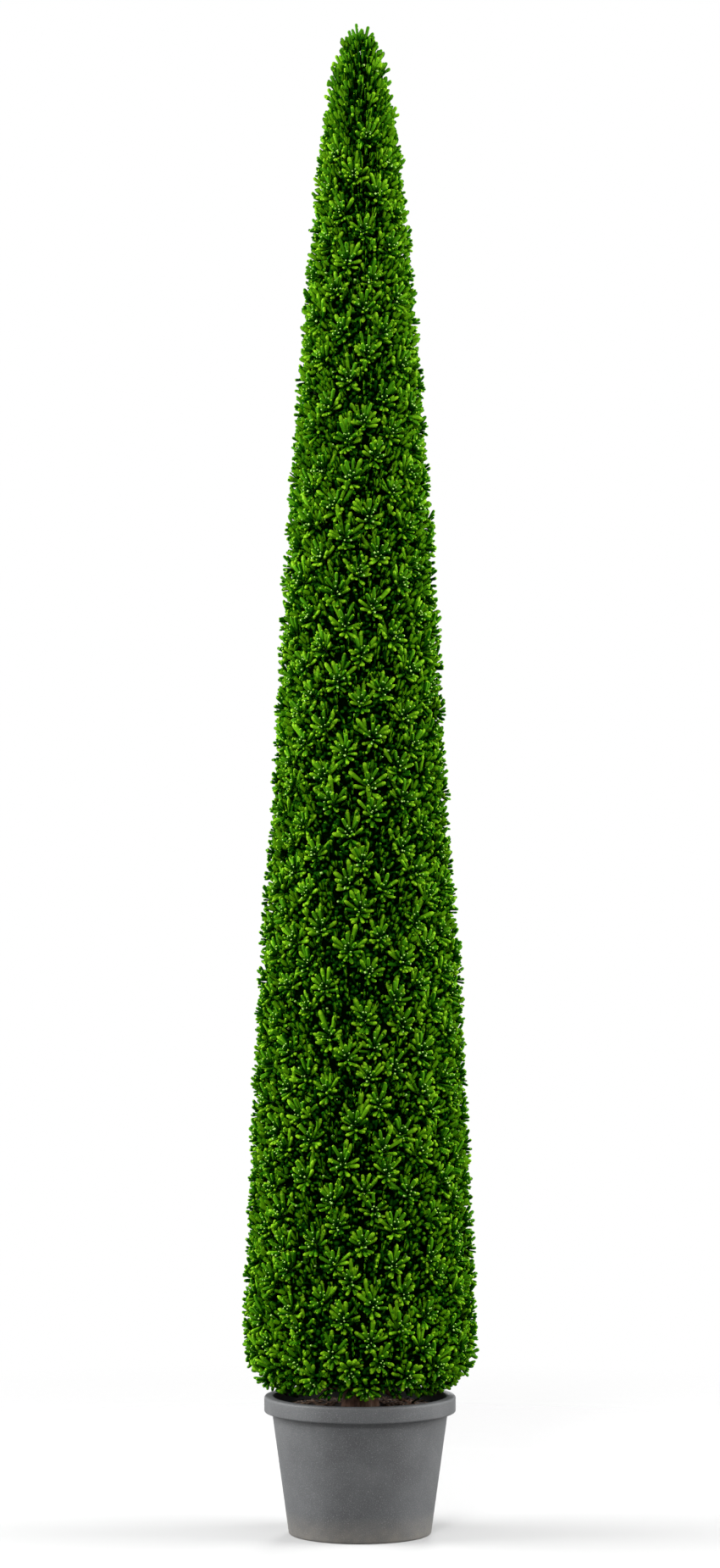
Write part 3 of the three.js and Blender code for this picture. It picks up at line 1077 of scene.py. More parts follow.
@dataclass(frozen=True)
class FingerForm:
    """The form of a finger of foliage: how its girth follows its length, and its sides.

    The body's rings are given by their share of the length, and the rounded end's by their
    distance from the tip in half-widths, so that short and long fingers end equally blunt. Each
    ring has its girth beside it. Faces that turn further from the light over the crown's outside
    than the ridge says, as a cosine, take the next darker green, as painted shade. On a flat
    finger the two narrow edges take a much darker one instead, as painted shade.
    """

    body: tuple[Range, ...]
    end: tuple[Range, ...]
    sides: int
    ridge: float = -1.0
    flat: bool = False

    def girth(self) -> Array:
        """The girth of each ring."""
        return np.array([girth for _, girth in self.body + self.end])

    def angles(self, shift: float = 0.0) -> Array:
        """The angles of the ring's points, or between them. Four sides stand flat."""
        return ring_angles(self.sides, shift + (0.5 if self.sides == 4 else 0.0))

    def along(self, slimness: Array) -> Array:
        """Places the rings along fingers.

        Args:
            slimness: Each finger's half-width over its length.

        Returns:
            The rings' shares of the length, of shape (fingers, rings).
        """
        body = np.array([share for share, _ in self.body])
        end = 1 - slimness[:, None] * np.array([back for back, _ in self.end])
        return np.concatenate([np.tile(body, (len(slimness), 1)), end], axis=1)


ROUND = FingerForm(((0.0, 0.66), (0.4, 0.84)), ((1.05, 1.0), (0.34, 0.74)), 6)
PETAL = FingerForm(((0.0, 0.48), (0.4, 0.80)), ((1.5, 1.0), (0.42, 0.66)), 6, 0.4)
NARROW = FingerForm(((0.0, 0.5), (0.4, 0.80)), ((1.3, 1.0), (0.38, 0.70)), 4, 0.1)
PLUMP = FingerForm(((0.0, 0.45), (0.38, 0.72)), ((1.05, 1.0), (0.34, 0.74)), 6)
PAD = FingerForm(((0.0, 0.5), (0.4, 0.84)), ((1.15, 1.0), (0.34, 0.74)), 4, flat=True)
SMALL = FingerForm(((0.0, 0.5),), ((1.1, 1.0), (0.34, 0.76)), 4)
TINY = FingerForm(((0.0, 0.5),), ((0.65, 1.0),), 5)
CHIP = FingerForm(((0.0, 0.7), (0.5, 1.0)), ((0.3, 0.6),), 5)

# LIGHT_RISE tilts the light that the fingers' sides are shaded against; EDGE_ON picks a flat
# finger's narrow edges, which take EDGE_DARKER greens darker. All of this is painted shade.
LIGHT_RISE = 0.55
EDGE_ON = 0.6
EDGE_DARKER = 3


class Rows:
    """Arrays of one length, which a dataclass holds as its fields, with a row for each thing."""

    def __len__(self) -> int:
        """How many rows there are."""
        return len(getattr(self, fields(self)[0].name))

    def chosen(self, wanted: NDArray) -> Self:
        """The rows that an index or a mask picks."""
        return type(self)(*(getattr(self, entry.name)[wanted] for entry in fields(self)))


@dataclass
class Fingers(Rows):
    """Many fingers of foliage at once.

    A finger's line runs from its base along its direction and bends, and its flat side lies along
    its side vector.
    """

    base: Array
    direction: Array
    side: Array
    bend: Array
    length: Array
    width: Array
    thickness: Array
    tone: Indices

    @staticmethod
    def spread(shape: tuple[int, ...], **values: Array) -> "Fingers":
        """Makes fingers from arrays on a grid, such as of shoots by fingers.

        Args:
            shape: The grid's shape.
            values: The fields, which may be broadcast to the grid. Vectors have a last axis of 3.

        Returns:
            The fingers, row by row of the grid.
        """
        vectors = ("base", "direction", "side", "bend")
        ends = {name: (3,) if name in vectors else () for name in values}
        grids = {name: np.broadcast_to(values[name], shape + ends[name]) for name in values}
        return Fingers(**{name: np.array(grids[name]).reshape(-1, *ends[name]) for name in values})

    def at(self, share: Array) -> Array:
        """The points at shares of the length: base + length (share * direction + share^2 * bend).

        Args:
            share: One or more shares for each finger, of shape (fingers or 1, shares).

        Returns:
            The points, of shape (fingers, shares, 3).
        """
        share = share[..., None]
        path = share * self.direction[:, None] + share**2 * self.bend[:, None]
        return self.base[:, None] + self.length[:, None, None] * path

    def kept_within(self, crown: CrownForm, past: float, widest: float) -> "Fingers":
        """Moves each finger towards the Z axis by as much as its end lies too far out.

        Args:
            crown: The crown, whose outline at the end's height is the measure.
            past: How far past the outline an end may lie.
            widest: The radius that no end may pass.

        Returns:
            The fingers in their places.
        """
        end = self.at(np.array([[1.0]]))[:, 0]
        far = np.linalg.norm(end * LEVEL, axis=1)
        excess = np.maximum(far - np.minimum(crown.outline(end[:, 2]) + past, widest), 0)
        inwards = (excess / np.maximum(far, NEXT_TO_NOTHING))[:, None] * end * LEVEL
        return replace(self, base=self.base - inwards)

    def darker(self, form: FingerForm) -> Indices:
        """How many greens darker each side of each finger is, as painted shade.

        Args:
            form: The form, whose ridge or flatness tells which sides are darker.

        Returns:
            The steps, of shape (fingers, sides).
        """
        middle = form.angles(0.5)
        if form.flat:
            return np.tile(EDGE_DARKER * (np.abs(np.cos(middle)) > EDGE_ON), (len(self), 1))
        through = np.cross(self.direction, self.side)
        facing = turned(self.side[:, None], through[:, None], middle)
        light = unit(unit(self.base * LEVEL) + LIGHT_RISE * UP)
        return (np.sum(facing * light[:, None], axis=-1) < form.ridge).astype(int)

    def surface(self, form: FingerForm) -> Surface:
        """Makes the fingers closed, blunt, slightly flattened tubes.

        A ring is centre + girth / 2 (cos a * width * side + sin a * thickness * through), with
        its centre on the finger's bending line.

        Args:
            form: The girth along the finger and its sides.

        Returns:
            The surface, whose faces take the greens of each finger's tone.
        """
        centres = self.at(form.along(self.width / 2 / self.length))
        across = self.side * self.width[:, None] / 2
        through = np.cross(self.direction, self.side) * self.thickness[:, None] / 2
        spokes = turned(across[:, None], through[:, None], form.angles())
        rings = centres[:, :, None] + form.girth()[:, None, None] * spokes[:, None]
        surface = Surface.tubes(rings, self.at(np.array([[0.0, 1.0]])))
        greens = TONE_SLOTS[self.tone]
        # Sides turned from the light and flat fingers' narrow edges take darker greens: painted
        # shade.
        bands = greens[:, 5 - rings.shape[1] : 4, None] - self.darker(form)[:, None]
        surface.quad_slots = np.maximum(bands, 0).ravel()
        surface.triangle_slots = np.repeat(greens[:, [0, -1]], form.sides, axis=1).ravel()
        return surface


@dataclass
class Shoots(Rows):
    """Places on the crown that foliage grows from: tips on the outline, and where they point."""

    tip: Array
    axis: Array
    upright: Array

    def clearance(self, points: Array, depth: float = 0.03) -> Array:
        """How far points are from the nearest of the shoots' heads, a depth inside their tips."""
        heads = self.tip - depth * self.axis
        return np.min(np.linalg.norm(points[:, None] - heads[None], axis=-1), axis=1)


@dataclass(frozen=True)
class Spiral:
    """Shoots on the golden-angle spiral that the solids' sprays follow, and how far they stray.

    The shift moves a spiral along itself, in steps. Shoots stand upright near the crown's tip.
    """

    count: int
    shift: float
    heading_stray: float
    angle_stray: float = 0.1
    height_stray: float = 0.008
    rise_stray: float = 0.16
    ends: Range = (0.004, 0.02)
    upright_from: float = 0.8
    upright_at: float = 0.12

    def shoots(self, crown: CrownForm, rng: Random) -> Shoots:
        """Sets the shoots on the crown.

        Args:
            crown: The crown's form.
            rng: Draws how far each strays.

        Returns:
            The shoots, from the bottom up.
        """
        def stray(most: float) -> Array:
            """Draws how far each shoot strays, up to the most."""
            return rng.uniform(-most, most, self.count)

        angle = spiral_angles(self.count, self.shift) + stray(self.angle_stray)
        height = crown.even_heights(self.count) + rng.normal(0, self.height_stray, self.count)
        height = np.clip(height, crown.bottom + self.ends[0], crown.top - self.ends[1])
        rise = crown.rise(height) + stray(self.rise_stray)
        axis = headings(angle + stray(self.heading_stray), rise)
        upright = smoothstep(height, crown.top - self.upright_from, crown.top - self.upright_at)
        return Shoots(polar(crown.outline(height), angle, height), axis, upright)


# Kinds of foliage


@dataclass(frozen=True)
class Whorl:
    """One ring of fingers in a rosette. Its upper and its lower fingers take their own tones:
    lighter above and darker below, as painted light from above.
    """

    fingers: int
    along: float
    splay: Range
    length: Range
    width: float
    flatness: float
    form: FingerForm
    upper: Chances
    lower: Chances
    lobed: float = 0.0


ROSETTE = (
    Whorl(
        5, -0.012, (6, 34), (0.026, 0.032), 0.0074, 0.95, SMALL,
        upper={Tone.BUD: 1.0},
        lower={Tone.BUD: 1.0},
    ),
    Whorl(
        6, -0.012, (28, 50), (0.038, 0.046), 0.0128, 0.9, NARROW,
        upper={Tone.FRESH: 1.0},
        lower={Tone.FRESH: 0.7, Tone.BUD: 0.3},
    ),
    Whorl(
        9, -0.028, (48, 76), (0.044, 0.063), 0.0150, 0.8, PETAL,
        upper={Tone.SUNLIT: 0.85, Tone.FRESH: 0.15},
        lower={Tone.SUNLIT: 0.45, Tone.FRESH: 0.45, Tone.DULL: 0.1},
        lobed=0.3,
    ),
    Whorl(
        5, -0.042, (70, 92), (0.042, 0.052), 0.0124, 0.8, NARROW,
        upper={Tone.FRESH: 0.4, Tone.DULL: 0.6},
        lower={Tone.DULL: 1.0},
    ),
)


@dataclass
class Rosettes:
    """Star-shaped heads of blunt fingers round a shoot's end, in staggered whorls.

    Near the crown's tip, where shoots stand upright, they are smaller and more closed, with
    longer fingers.
    """

    shoots: Shoots
    depth: float = 0.018
    depth_stray: Range = (-0.004, 0.010)
    sizes: Range = (0.86, 1.18)
    stretch: Range = (0.005, 0.015)
    out: float = 0.003
    turn_stray: float = 0.19
    along_stray: float = 0.005
    towards_light: float = 0.2
    sideways: float = 0.07
    upper_longer: float = 0.4
    ends_longer: float = 0.14
    upper_wider: float = 0.12
    length_range: Range = (0.82, 1.0)
    width_range: Range = (0.84, 1.1)
    smaller_at_tip: float = 0.15
    closed_at_tip: float = 0.45
    longer_at_tip: float = 0.25

    def fingers(self, rng: Random) -> list[tuple[Fingers, FingerForm]]:
        """Grows every rosette's fingers.

        A finger heads along cos s * axis + sin s * spoke, with s its splay and the spoke
        cos a * level + sin a * upper, and bends a little towards the light.

        Args:
            rng: Draws sizes, turns and tones.

        Returns:
            The fingers of each whorl, with their form.
        """
        count = len(self.shoots)
        upright = self.shoots.upright[:, None]
        size = rng.uniform(*self.sizes, (count, 1)) * (1 - self.smaller_at_tip * upright)
        level, upper = (vector[:, None] for vector in crossways(self.shoots.axis))
        axis = self.shoots.axis[:, None]
        sunk = self.depth * size + rng.uniform(*self.depth_stray, (count, 1))
        head = (self.shoots.tip - self.shoots.axis * sunk)[:, None]
        start = rng.uniform(0, FULL_TURN, (count, 1))
        light = unit(0.7 * axis + UP)
        grown: list[tuple[Fingers, FingerForm]] = []
        for number, whorl in enumerate(ROSETTE):
            shape = (count, whorl.fingers)
            turn = start + ring_angles(whorl.fingers, 0.5 * number)
            turn = turn + rng.normal(0, self.turn_stray * FULL_TURN / whorl.fingers, shape)
            splay = np.radians(rng.uniform(*whorl.splay, shape))
            splay = splay * (1 - self.closed_at_tip * upright)
            high, wide = np.sin(turn), np.sin(splay)
            spoke = turned(level, upper, turn)
            side = np.cross(axis, spoke)
            along = (whorl.along + rng.uniform(-self.along_stray, self.along_stray, shape)) * size
            raised = high * np.where(high > 0, *self.stretch) * wide * size
            bend = light * (rng.uniform(0, self.towards_light, shape) * wide)[..., None]
            bend = bend + side * rng.normal(0, self.sideways, shape)[..., None]
            favoured = 1 + (self.upper_longer * high + self.ends_longer * np.abs(high)) * wide
            length = rng.uniform(*whorl.length, shape) * rng.uniform(*self.length_range, shape)
            length = length * size * favoured * (1 + self.longer_at_tip * upright)
            width = whorl.width * size**0.5 * (1 + self.upper_wider * high)
            width = width * rng.uniform(*self.width_range, shape)
            # Upper fingers draw lighter tones and lower ones darker: painted light from above.
            above, below = (tones_drawn(tones, shape, rng) for tones in (whorl.upper, whorl.lower))
            fingers = Fingers.spread(
                shape,
                base=head + axis * along[..., None] + self.out * spoke + raised[..., None] * upper,
                direction=turned(axis, spoke, splay), side=side, bend=bend, length=length,
                width=width, thickness=width * whorl.flatness,
                tone=np.where(high > -0.1, above, below),
            )
            if whorl.lobed:
                fingers = Fingers(*joined_fields([fingers, lobes(fingers, whorl.lobed, rng)]))
            grown.append((fingers, whorl.form))
        return grown


def lobes(parents: Fingers, share: float, rng: Random) -> Fingers:
    """Grows side lobes: shorter fingers that fork off in the finger's plane.

    Args:
        parents: The fingers that may get a lobe.
        share: How many of them do.
        rng: Draws which, and their forks.

    Returns:
        The lobes.
    """
    few = parents.chosen(rng.random(len(parents)) < share)
    hand = rng.choice([-1.0, 1.0], (len(few), 1))
    fork = rng.uniform(math.radians(22), math.radians(38), len(few))
    return Fingers(
        base=few.at(np.array([[0.34]]))[:, 0],
        direction=turned(few.direction, hand * few.side, fork),
        side=turned(few.side, -hand * few.direction, fork), bend=few.bend,
        length=few.length * rng.uniform(0.46, 0.6, len(few)), width=few.width * 0.84,
        thickness=few.thickness * 0.84, tone=few.tone,
    )


@dataclass(frozen=True)
class SprigForm:
    """A flat sprig: a middle finger, and side fingers that fork off along it in one plane."""

    angles: tuple[float, ...]
    starts: tuple[float, ...]
    lengths: tuple[float, ...]
    width: float
    flatness: float
    tones: Chances
    curl: float = 0.0
    fork_range: Range = (0.8, 1.15)
    length_range: Range = (0.85, 1.0)
    width_range: Range = (0.85, 1.08)

    def forks(self, count: int, rng: Random) -> Array:
        """Draws the angles between each sprig's fingers and its axis."""
        return np.radians(self.angles) * rng.uniform(*self.fork_range, (count, len(self.angles)))

    def grown(self, root: Array, axis: Array, within: Array, fork: Array, rng: Random) -> Fingers:
        """Grows sprigs.

        A finger heads along cos f * axis + sin f * within, with f its fork, and bends back to the
        axis by the curl times |sin f|.

        Args:
            root: Where each sprig's stalk starts.
            axis: Where it heads.
            within: The direction across the axis in the sprig's plane.
            fork: The fingers' forks.
            rng: Draws their sizes, and a tone for each sprig where there is more than one.

        Returns:
            The fingers, sprig by sprig, each with its middle finger first.
        """
        axis, within = axis[:, None], within[:, None]
        length = np.array(self.lengths) * rng.uniform(*self.length_range, fork.shape)
        width = self.width * rng.uniform(*self.width_range, fork.shape)
        tone = TONES.index(next(iter(self.tones)))
        if len(self.tones) > 1:
            tone = tones_drawn(self.tones, (len(root), 1), rng)
        return Fingers.spread(
            fork.shape, base=root[:, None] + axis * np.array(self.starts)[:, None],
            direction=turned(axis, within, fork), side=turned(within, -axis, fork),
            bend=self.curl * np.abs(np.sin(fork))[..., None] * axis, length=length, width=width,
            thickness=self.flatness * width, tone=tone,
        )


def rolled_plane(axis: Array, roll: float, rng: Random) -> Array:
    """The directions across axes, in upright planes that a draw rolls a little about them."""
    level, upper = crossways(axis)
    return turned(upper, level, rng.normal(0, roll, len(axis)))


def either_side(count: int, rng: Random) -> Array:
    """Signs drawn at random, one in a row of its own for each of a count of sprigs."""
    return rng.choice([-1.0, 1.0], (count, 1))


@dataclass
class Hands:
    """Upright sprigs near the tip: a long finger, mostly with forks beside it.

    The strays are how far a sprig's place, its heading and its plane turn at random.
    """

    crown: CrownForm
    count: int = 320
    reach: Range = (0.32, 0.70)
    sunk: Range = (0.0, 0.036)
    lean: Range = (0.04, 0.30)
    lean_from: Range = (-0.05, 0.25)
    lower_lean: float = 0.6
    lower_from: Range = (0.5, 1.05)
    strays: tuple[float, float, float] = (0.1, 0.2, 0.12)
    chances: tuple[float, ...] = (1.0, 0.75, 0.65, 0.45)
    below_tip: float = 0.022
    form: SprigForm = SprigForm(
        angles=(0, 34, -34, 62), starts=(0.0, 0.006, 0.009, 0.014),
        lengths=(0.054, 0.042, 0.040, 0.032), width=0.0185, flatness=0.46,
        tones={Tone.PAD: 0.55, Tone.FRESH: 0.45}, curl=0.25, fork_range=(0.8, 1.2),
        length_range=(0.84, 1.0), width_range=(0.8, 1.1),
    )

    def fingers(self, rng: Random) -> Fingers:
        """Grows the sprigs, most closely by the tip, and fading out where the rosettes begin.

        Args:
            rng: Draws how they stray, and which fingers are missing.

        Returns:
            The fingers.
        """
        below = self.reach[1] * ((np.arange(self.count) + 0.5) / self.count) ** 0.8
        keep = rng.random(self.count) > smoothstep(below, *self.reach)
        below, angle = below[keep], spiral_angles(self.count)[keep]
        count = len(below)
        aside, heading, roll = self.strays
        angle = angle + rng.uniform(-aside, aside, count)
        height = self.crown.top - below - self.below_tip * (1 - smoothstep(below, 0.0, 0.12))
        tip = polar(self.crown.outline(height) - rng.uniform(*self.sunk, count), angle, height)
        lean = rng.uniform(*self.lean, count) * smoothstep(below, *self.lean_from)
        lean = lean + self.lower_lean * smoothstep(below, *self.lower_from)
        axis = headings(angle + rng.normal(0, heading, count), math.pi / 2 - lean)
        within = rolled_plane(axis, roll, rng) * either_side(count, rng)
        root = tip - axis * self.form.lengths[0]
        grown = self.form.grown(root, axis, within, self.form.forks(count, rng), rng)
        present = rng.random((count, len(self.chances))) < np.array(self.chances)
        return grown.chosen(present.ravel())


@dataclass
class Fans:
    """Flat sprays between the rosettes, in upright planes that hold the trunk."""

    shoots: Shoots
    depth: float = 0.066
    depth_stray: Range = (-0.004, 0.010)
    raised_at_tip: float = 0.012
    roll: float = 0.07
    sway: float = 0.1
    lift: float = 0.08
    form: SprigForm = SprigForm(
        angles=(0, 40, -40, 80), starts=(0.014, 0.012, 0.008, 0.0),
        lengths=(0.050, 0.040, 0.040, 0.034), width=0.0205, flatness=0.34,
        tones={Tone.PAD: 0.9, Tone.FLANK: 0.1}, length_range=(0.85, 1.12), width_range=(0.82, 1.1),
    )

    def fingers(self, rng: Random) -> Fingers:
        """Grows every fan, whose fingers all bend the same way in its plane.

        Args:
            rng: Draws how they lean and stray.

        Returns:
            The fingers.
        """
        shoots, count = self.shoots, len(self.shoots)
        within = rolled_plane(shoots.axis, self.roll, rng)
        fork = self.form.forks(count, rng)
        sunk = self.depth + rng.uniform(*self.depth_stray, (count, 1))
        root = shoots.tip - shoots.axis * (sunk - self.raised_at_tip * shoots.upright[:, None])
        grown = self.form.grown(root, shoots.axis, within, fork, rng)
        bend = self.sway * rng.normal(0, 1, (count, 1)) * within + self.lift * UP
        return replace(grown, bend=np.repeat(bend, fork.shape[1], axis=0))


@dataclass
class ForkedSprigs:
    """Small forked sprigs that stick out past the rest, each in its upright plane.

    The strays are how far a sprig's place, its heading and its plane turn at random.
    """

    crown: CrownForm
    count: int
    below: Range
    past: Range = (0.0, 0.014)
    rises: Range = (0.2, 1.15)
    steeper: Range = (0.12, 0.14)
    strays: tuple[float, float, float] = (0.2, 0.12, 0.3)
    form: SprigForm = SprigForm(
        angles=(0, 42, -44, -80), starts=(0.0, 0.012, 0.014, 0.022),
        lengths=(0.058, 0.036, 0.036, 0.028), width=0.0125, flatness=0.85,
        tones={Tone.SUNLIT: 0.2, Tone.FRESH: 0.8}, curl=0.12,
    )

    def fingers(self, rng: Random) -> Fingers:
        """Grows the sprigs, whose middle fingers end past the outline.

        Args:
            rng: Draws how they stray.

        Returns:
            The fingers.
        """
        count, lowest, highest = self.count, *self.rises
        aside, heading, roll = self.strays
        height = self.crown.top - np.linspace(*self.below, count) + rng.normal(0, 0.01, count)
        angle = spiral_angles(count, 0.25) + rng.uniform(-aside, aside, count)
        reach = self.crown.outline(height) + rng.uniform(*self.past, count)
        rise = np.maximum(self.crown.rise(height), lowest) + rng.normal(*self.steeper, count)
        axis = headings(angle + rng.normal(0, heading, count), np.minimum(rise, highest))
        within = rolled_plane(axis, roll, rng) * either_side(count, rng)
        root = polar(reach, angle, height) - axis * self.form.lengths[0]
        return self.form.grown(root, axis, within, self.form.forks(count, rng), rng)


@dataclass
class TopSprigs:
    """The upright sprigs that end the crown, each with its distance below the tip last."""

    crown: CrownForm
    places: tuple[Triple, ...] = (
        (-0.013, 0.000, 0.000),
        (0.028, -0.006, 0.010),
        (-0.038, -0.010, 0.025),
        (0.004, 0.028, 0.020),
        (0.046, 0.014, 0.040),
        (-0.026, 0.034, 0.034),
        (-0.056, 0.010, 0.056),
        (0.058, -0.012, 0.064),
    )
    steepness: float = 0.12
    form: SprigForm = SprigForm(
        angles=(0, 32, -34, 58, -60), starts=(0.0, 0.018, 0.014, 0.028, 0.026),
        lengths=(0.072, 0.042, 0.044, 0.026, 0.028), width=0.0116, flatness=0.9,
        tones={Tone.FRESH: 1.0}, curl=0.3, fork_range=(0.85, 1.15), width_range=(0.94, 1.08),
    )

    def fingers(self, rng: Random) -> Fingers:
        """Grows the sprigs, whose middle fingers all have their full length.

        Args:
            rng: Draws their planes and side fingers.

        Returns:
            The fingers.
        """
        places, count = np.array(self.places), len(self.places)
        tip = places * np.array([1.0, 1.0, -1.0]) + self.crown.top * UP
        axis = unit(self.steepness * UP + places * LEVEL)
        plane = np.array([0.2, 1.0, 0.0]) + rng.normal(0, 0.3, (count, 3))
        within = unit(np.cross(axis, plane))
        root = tip - axis * self.form.lengths[0]
        grown = self.form.grown(root, axis, within, self.form.forks(count, rng), rng)
        grown.length[:: len(self.form.angles)] = self.form.lengths[0]
        return grown


@dataclass
class LeafLayer:
    """A layer of small fingers that stand close together below the rosettes and point outwards.

    Between the rosettes the layer lies at its shallow depth, and below each rosette it sinks to
    its deep one. Flat fingers on edge stand in upright planes that hold the trunk.
    """

    crown: CrownForm
    count: int
    depths: Range
    stray: float
    width: Range
    length: Range
    tones: Chances
    uneven: float = 0.006
    flatness: float = 0.82
    on_edge: bool = False
    sinks_between: Range = (0.045, 0.080)
    bare_tip: float = 0.045
    lift: float = 0.06

    def fingers(self, rosettes: Shoots, rng: Random) -> Fingers:
        """Grows the layer.

        Args:
            rosettes: The shoots below which the layer sinks.
            rng: Draws how the fingers stray.

        Returns:
            The fingers.
        """
        height = self.crown.even_heights(self.count)
        height = height[height < self.crown.top - self.bare_tip]
        count, (shallow, deep) = len(height), self.depths
        angle = spiral_angles(count) + rng.uniform(-0.04, 0.04, count)
        outline = self.crown.outline(height)
        clearance = rosettes.clearance(polar(outline, angle, height))
        free = smoothstep(clearance, *self.sinks_between)
        depth = deep + (shallow - deep) * free + rng.normal(0, self.uneven, count)
        rise = self.crown.rise(height) * 0.8 + rng.normal(0, self.stray, count)
        direction = headings(angle + rng.normal(0, self.stray, count), rise)
        length = rng.uniform(*self.length, count)
        width = rng.uniform(*self.width, count)
        tip = polar(outline - np.minimum(depth, 0.6 * outline), angle, height)
        return Fingers.spread(
            (count,), base=tip - direction * length[:, None], direction=direction,
            side=crossways(direction)[int(self.on_edge)], bend=self.lift * UP, length=length,
            width=width, thickness=self.flatness * width, tone=tones_drawn(self.tones, count, rng),
        )


# The crown's pieces


@dataclass
class ShadeCore:
    """The crown's dark inside: a lumpy closed body of old foliage, well below the green, whose
    near-black colour is painted shade.
    """

    crown: CrownForm
    depth: float = 0.050
    depth_share: float = 0.38
    lump_height: float = 0.010
    lumps: tuple[Ripple, ...] = (Ripple(14, 6, 2, 0.7), Ripple(16, 25, 7, 0.5))
    full_lumps_at: float = 0.2
    ends: Range = (0.05, 0.13)
    pole_rise: Range = (0.01, 0.02)
    rings: int = 220
    sides: int = 90

    def build(self, rng: Random) -> None:
        """Makes the body a closed tube: the outline less a depth, with lumps of two sizes.

        Args:
            rng: Draws the lumps.
        """
        low, high = self.crown.bottom + self.ends[0], self.crown.top - self.ends[1]
        height = np.linspace(low, high, self.rings)[:, None]
        angle = ring_angles(self.sides)
        outline = self.crown.outline(height)
        lumps = sum(each.at(height, angle, rng) for each in self.lumps)
        fade = self.lump_height * np.minimum(outline / self.full_lumps_at, 1)
        radius = outline - np.minimum(self.depth, self.depth_share * outline)
        rings = polar(radius + fade * lumps, angle, height)
        poles = axis_ends(low + self.pole_rise[0], high + self.pole_rise[1])
        nodes = self.crown.all_nodes()
        surface = Surface.tubes(rings[None], poles)
        surface.to_piece("inner_foliage_painted_shade", [ShadeCoreFinish().make()], "foliage", nodes)


@dataclass
class Boughs:
    """The wood of the crown: boughs that leave the trunk, and a twig to each rosette."""

    crown: CrownForm
    trunk: TrunkLine
    foot_radius: float = 0.012
    tip_radius: float = 0.0035
    twig_radii: Range = (0.0034, 0.0024)
    boughs_per_mass: int = 6
    bough_reach: float = 0.55
    below_tip: float = 0.25
    head_depth: float = 0.045
    foot_ends: Range = (0.06, 0.02)
    fall: float = 0.8
    sags: Range = (0.12, 0.1)
    sides: tuple[int, int] = (7, 5)
    rings: int = 7

    def tubes(
        self, start: Array, end: Array, sag: Array, radii: tuple[Array | float, float], sides: int
    ) -> Surface:
        """Carries tubes from start to end, which leave flatter and rise towards their ends.

        Args:
            start: Where each tube starts.
            end: Where it ends.
            sag: How far the middle of its bent curve is pulled down.
            radii: Its first and its last radius, between which it tapers evenly.
            sides: How many sides it has.

        Returns:
            The tubes.
        """
        share = np.linspace(0, 1, self.rings)[:, None]
        middle = (start + end) / 2 - sag[:, None] * UP
        paths = bent(start[:, None], middle[:, None], end[:, None], share)
        first, last = (np.broadcast_to(radius, len(start)) for radius in radii)
        return swept_tubes(paths, np.linspace(first, last, self.rings).T, sides)

    def bough_ends(self, rng: Random) -> Array:
        """Spreads the boughs' ends on a spiral of their own, halfway out to the outline.

        Args:
            rng: Draws how they stray.

        Returns:
            The points.
        """
        count = self.boughs_per_mass * (sum(self.crown.tier_sectors) + 1)
        height = self.crown.even_heights(count)
        angle = spiral_angles(count) + rng.uniform(-0.2, 0.2, count)
        below = np.minimum(height, self.crown.top - self.below_tip) - 0.05
        return polar(self.bough_reach * self.crown.outline(height), angle, below)

    def build(self, rosettes: Shoots, rng: Random) -> None:
        """Makes the boughs as one piece and the twigs, each from the nearest bough, as another.

        Args:
            rosettes: The shoots that each get a twig.
            rng: Draws how the boughs stray.
        """
        nodes = self.crown.all_nodes()
        ends = self.bough_ends(rng)
        reach = np.linalg.norm(ends * LEVEL, axis=1)
        lowest = self.crown.bottom + self.foot_ends[0]
        foot = np.clip(ends[:, 2] - self.fall * reach, lowest, self.trunk.tip - self.foot_ends[1])
        radius = np.minimum(self.foot_radius, 0.5 * self.trunk.radius_at(foot))
        radii, sag = (radius, self.tip_radius), self.sags[0] * reach
        boughs = self.tubes(self.trunk.centre(foot), ends, sag, radii, self.sides[0])
        boughs.to_piece("crown_boughs", [replace(BARK, name="bough_bark").make()], "bark", nodes)
        heads = rosettes.tip - self.head_depth * rosettes.axis
        gap = np.linalg.norm(heads[:, None] - ends[None], axis=-1)
        nearest, sag = ends[np.argmin(gap, axis=1)], self.sags[1] * np.min(gap, axis=1)
        twigs = self.tubes(nearest, heads, sag, self.twig_radii, self.sides[1])
        twigs.to_piece("crown_twigs", [YOUNG_WOOD.make()], "bark", nodes)


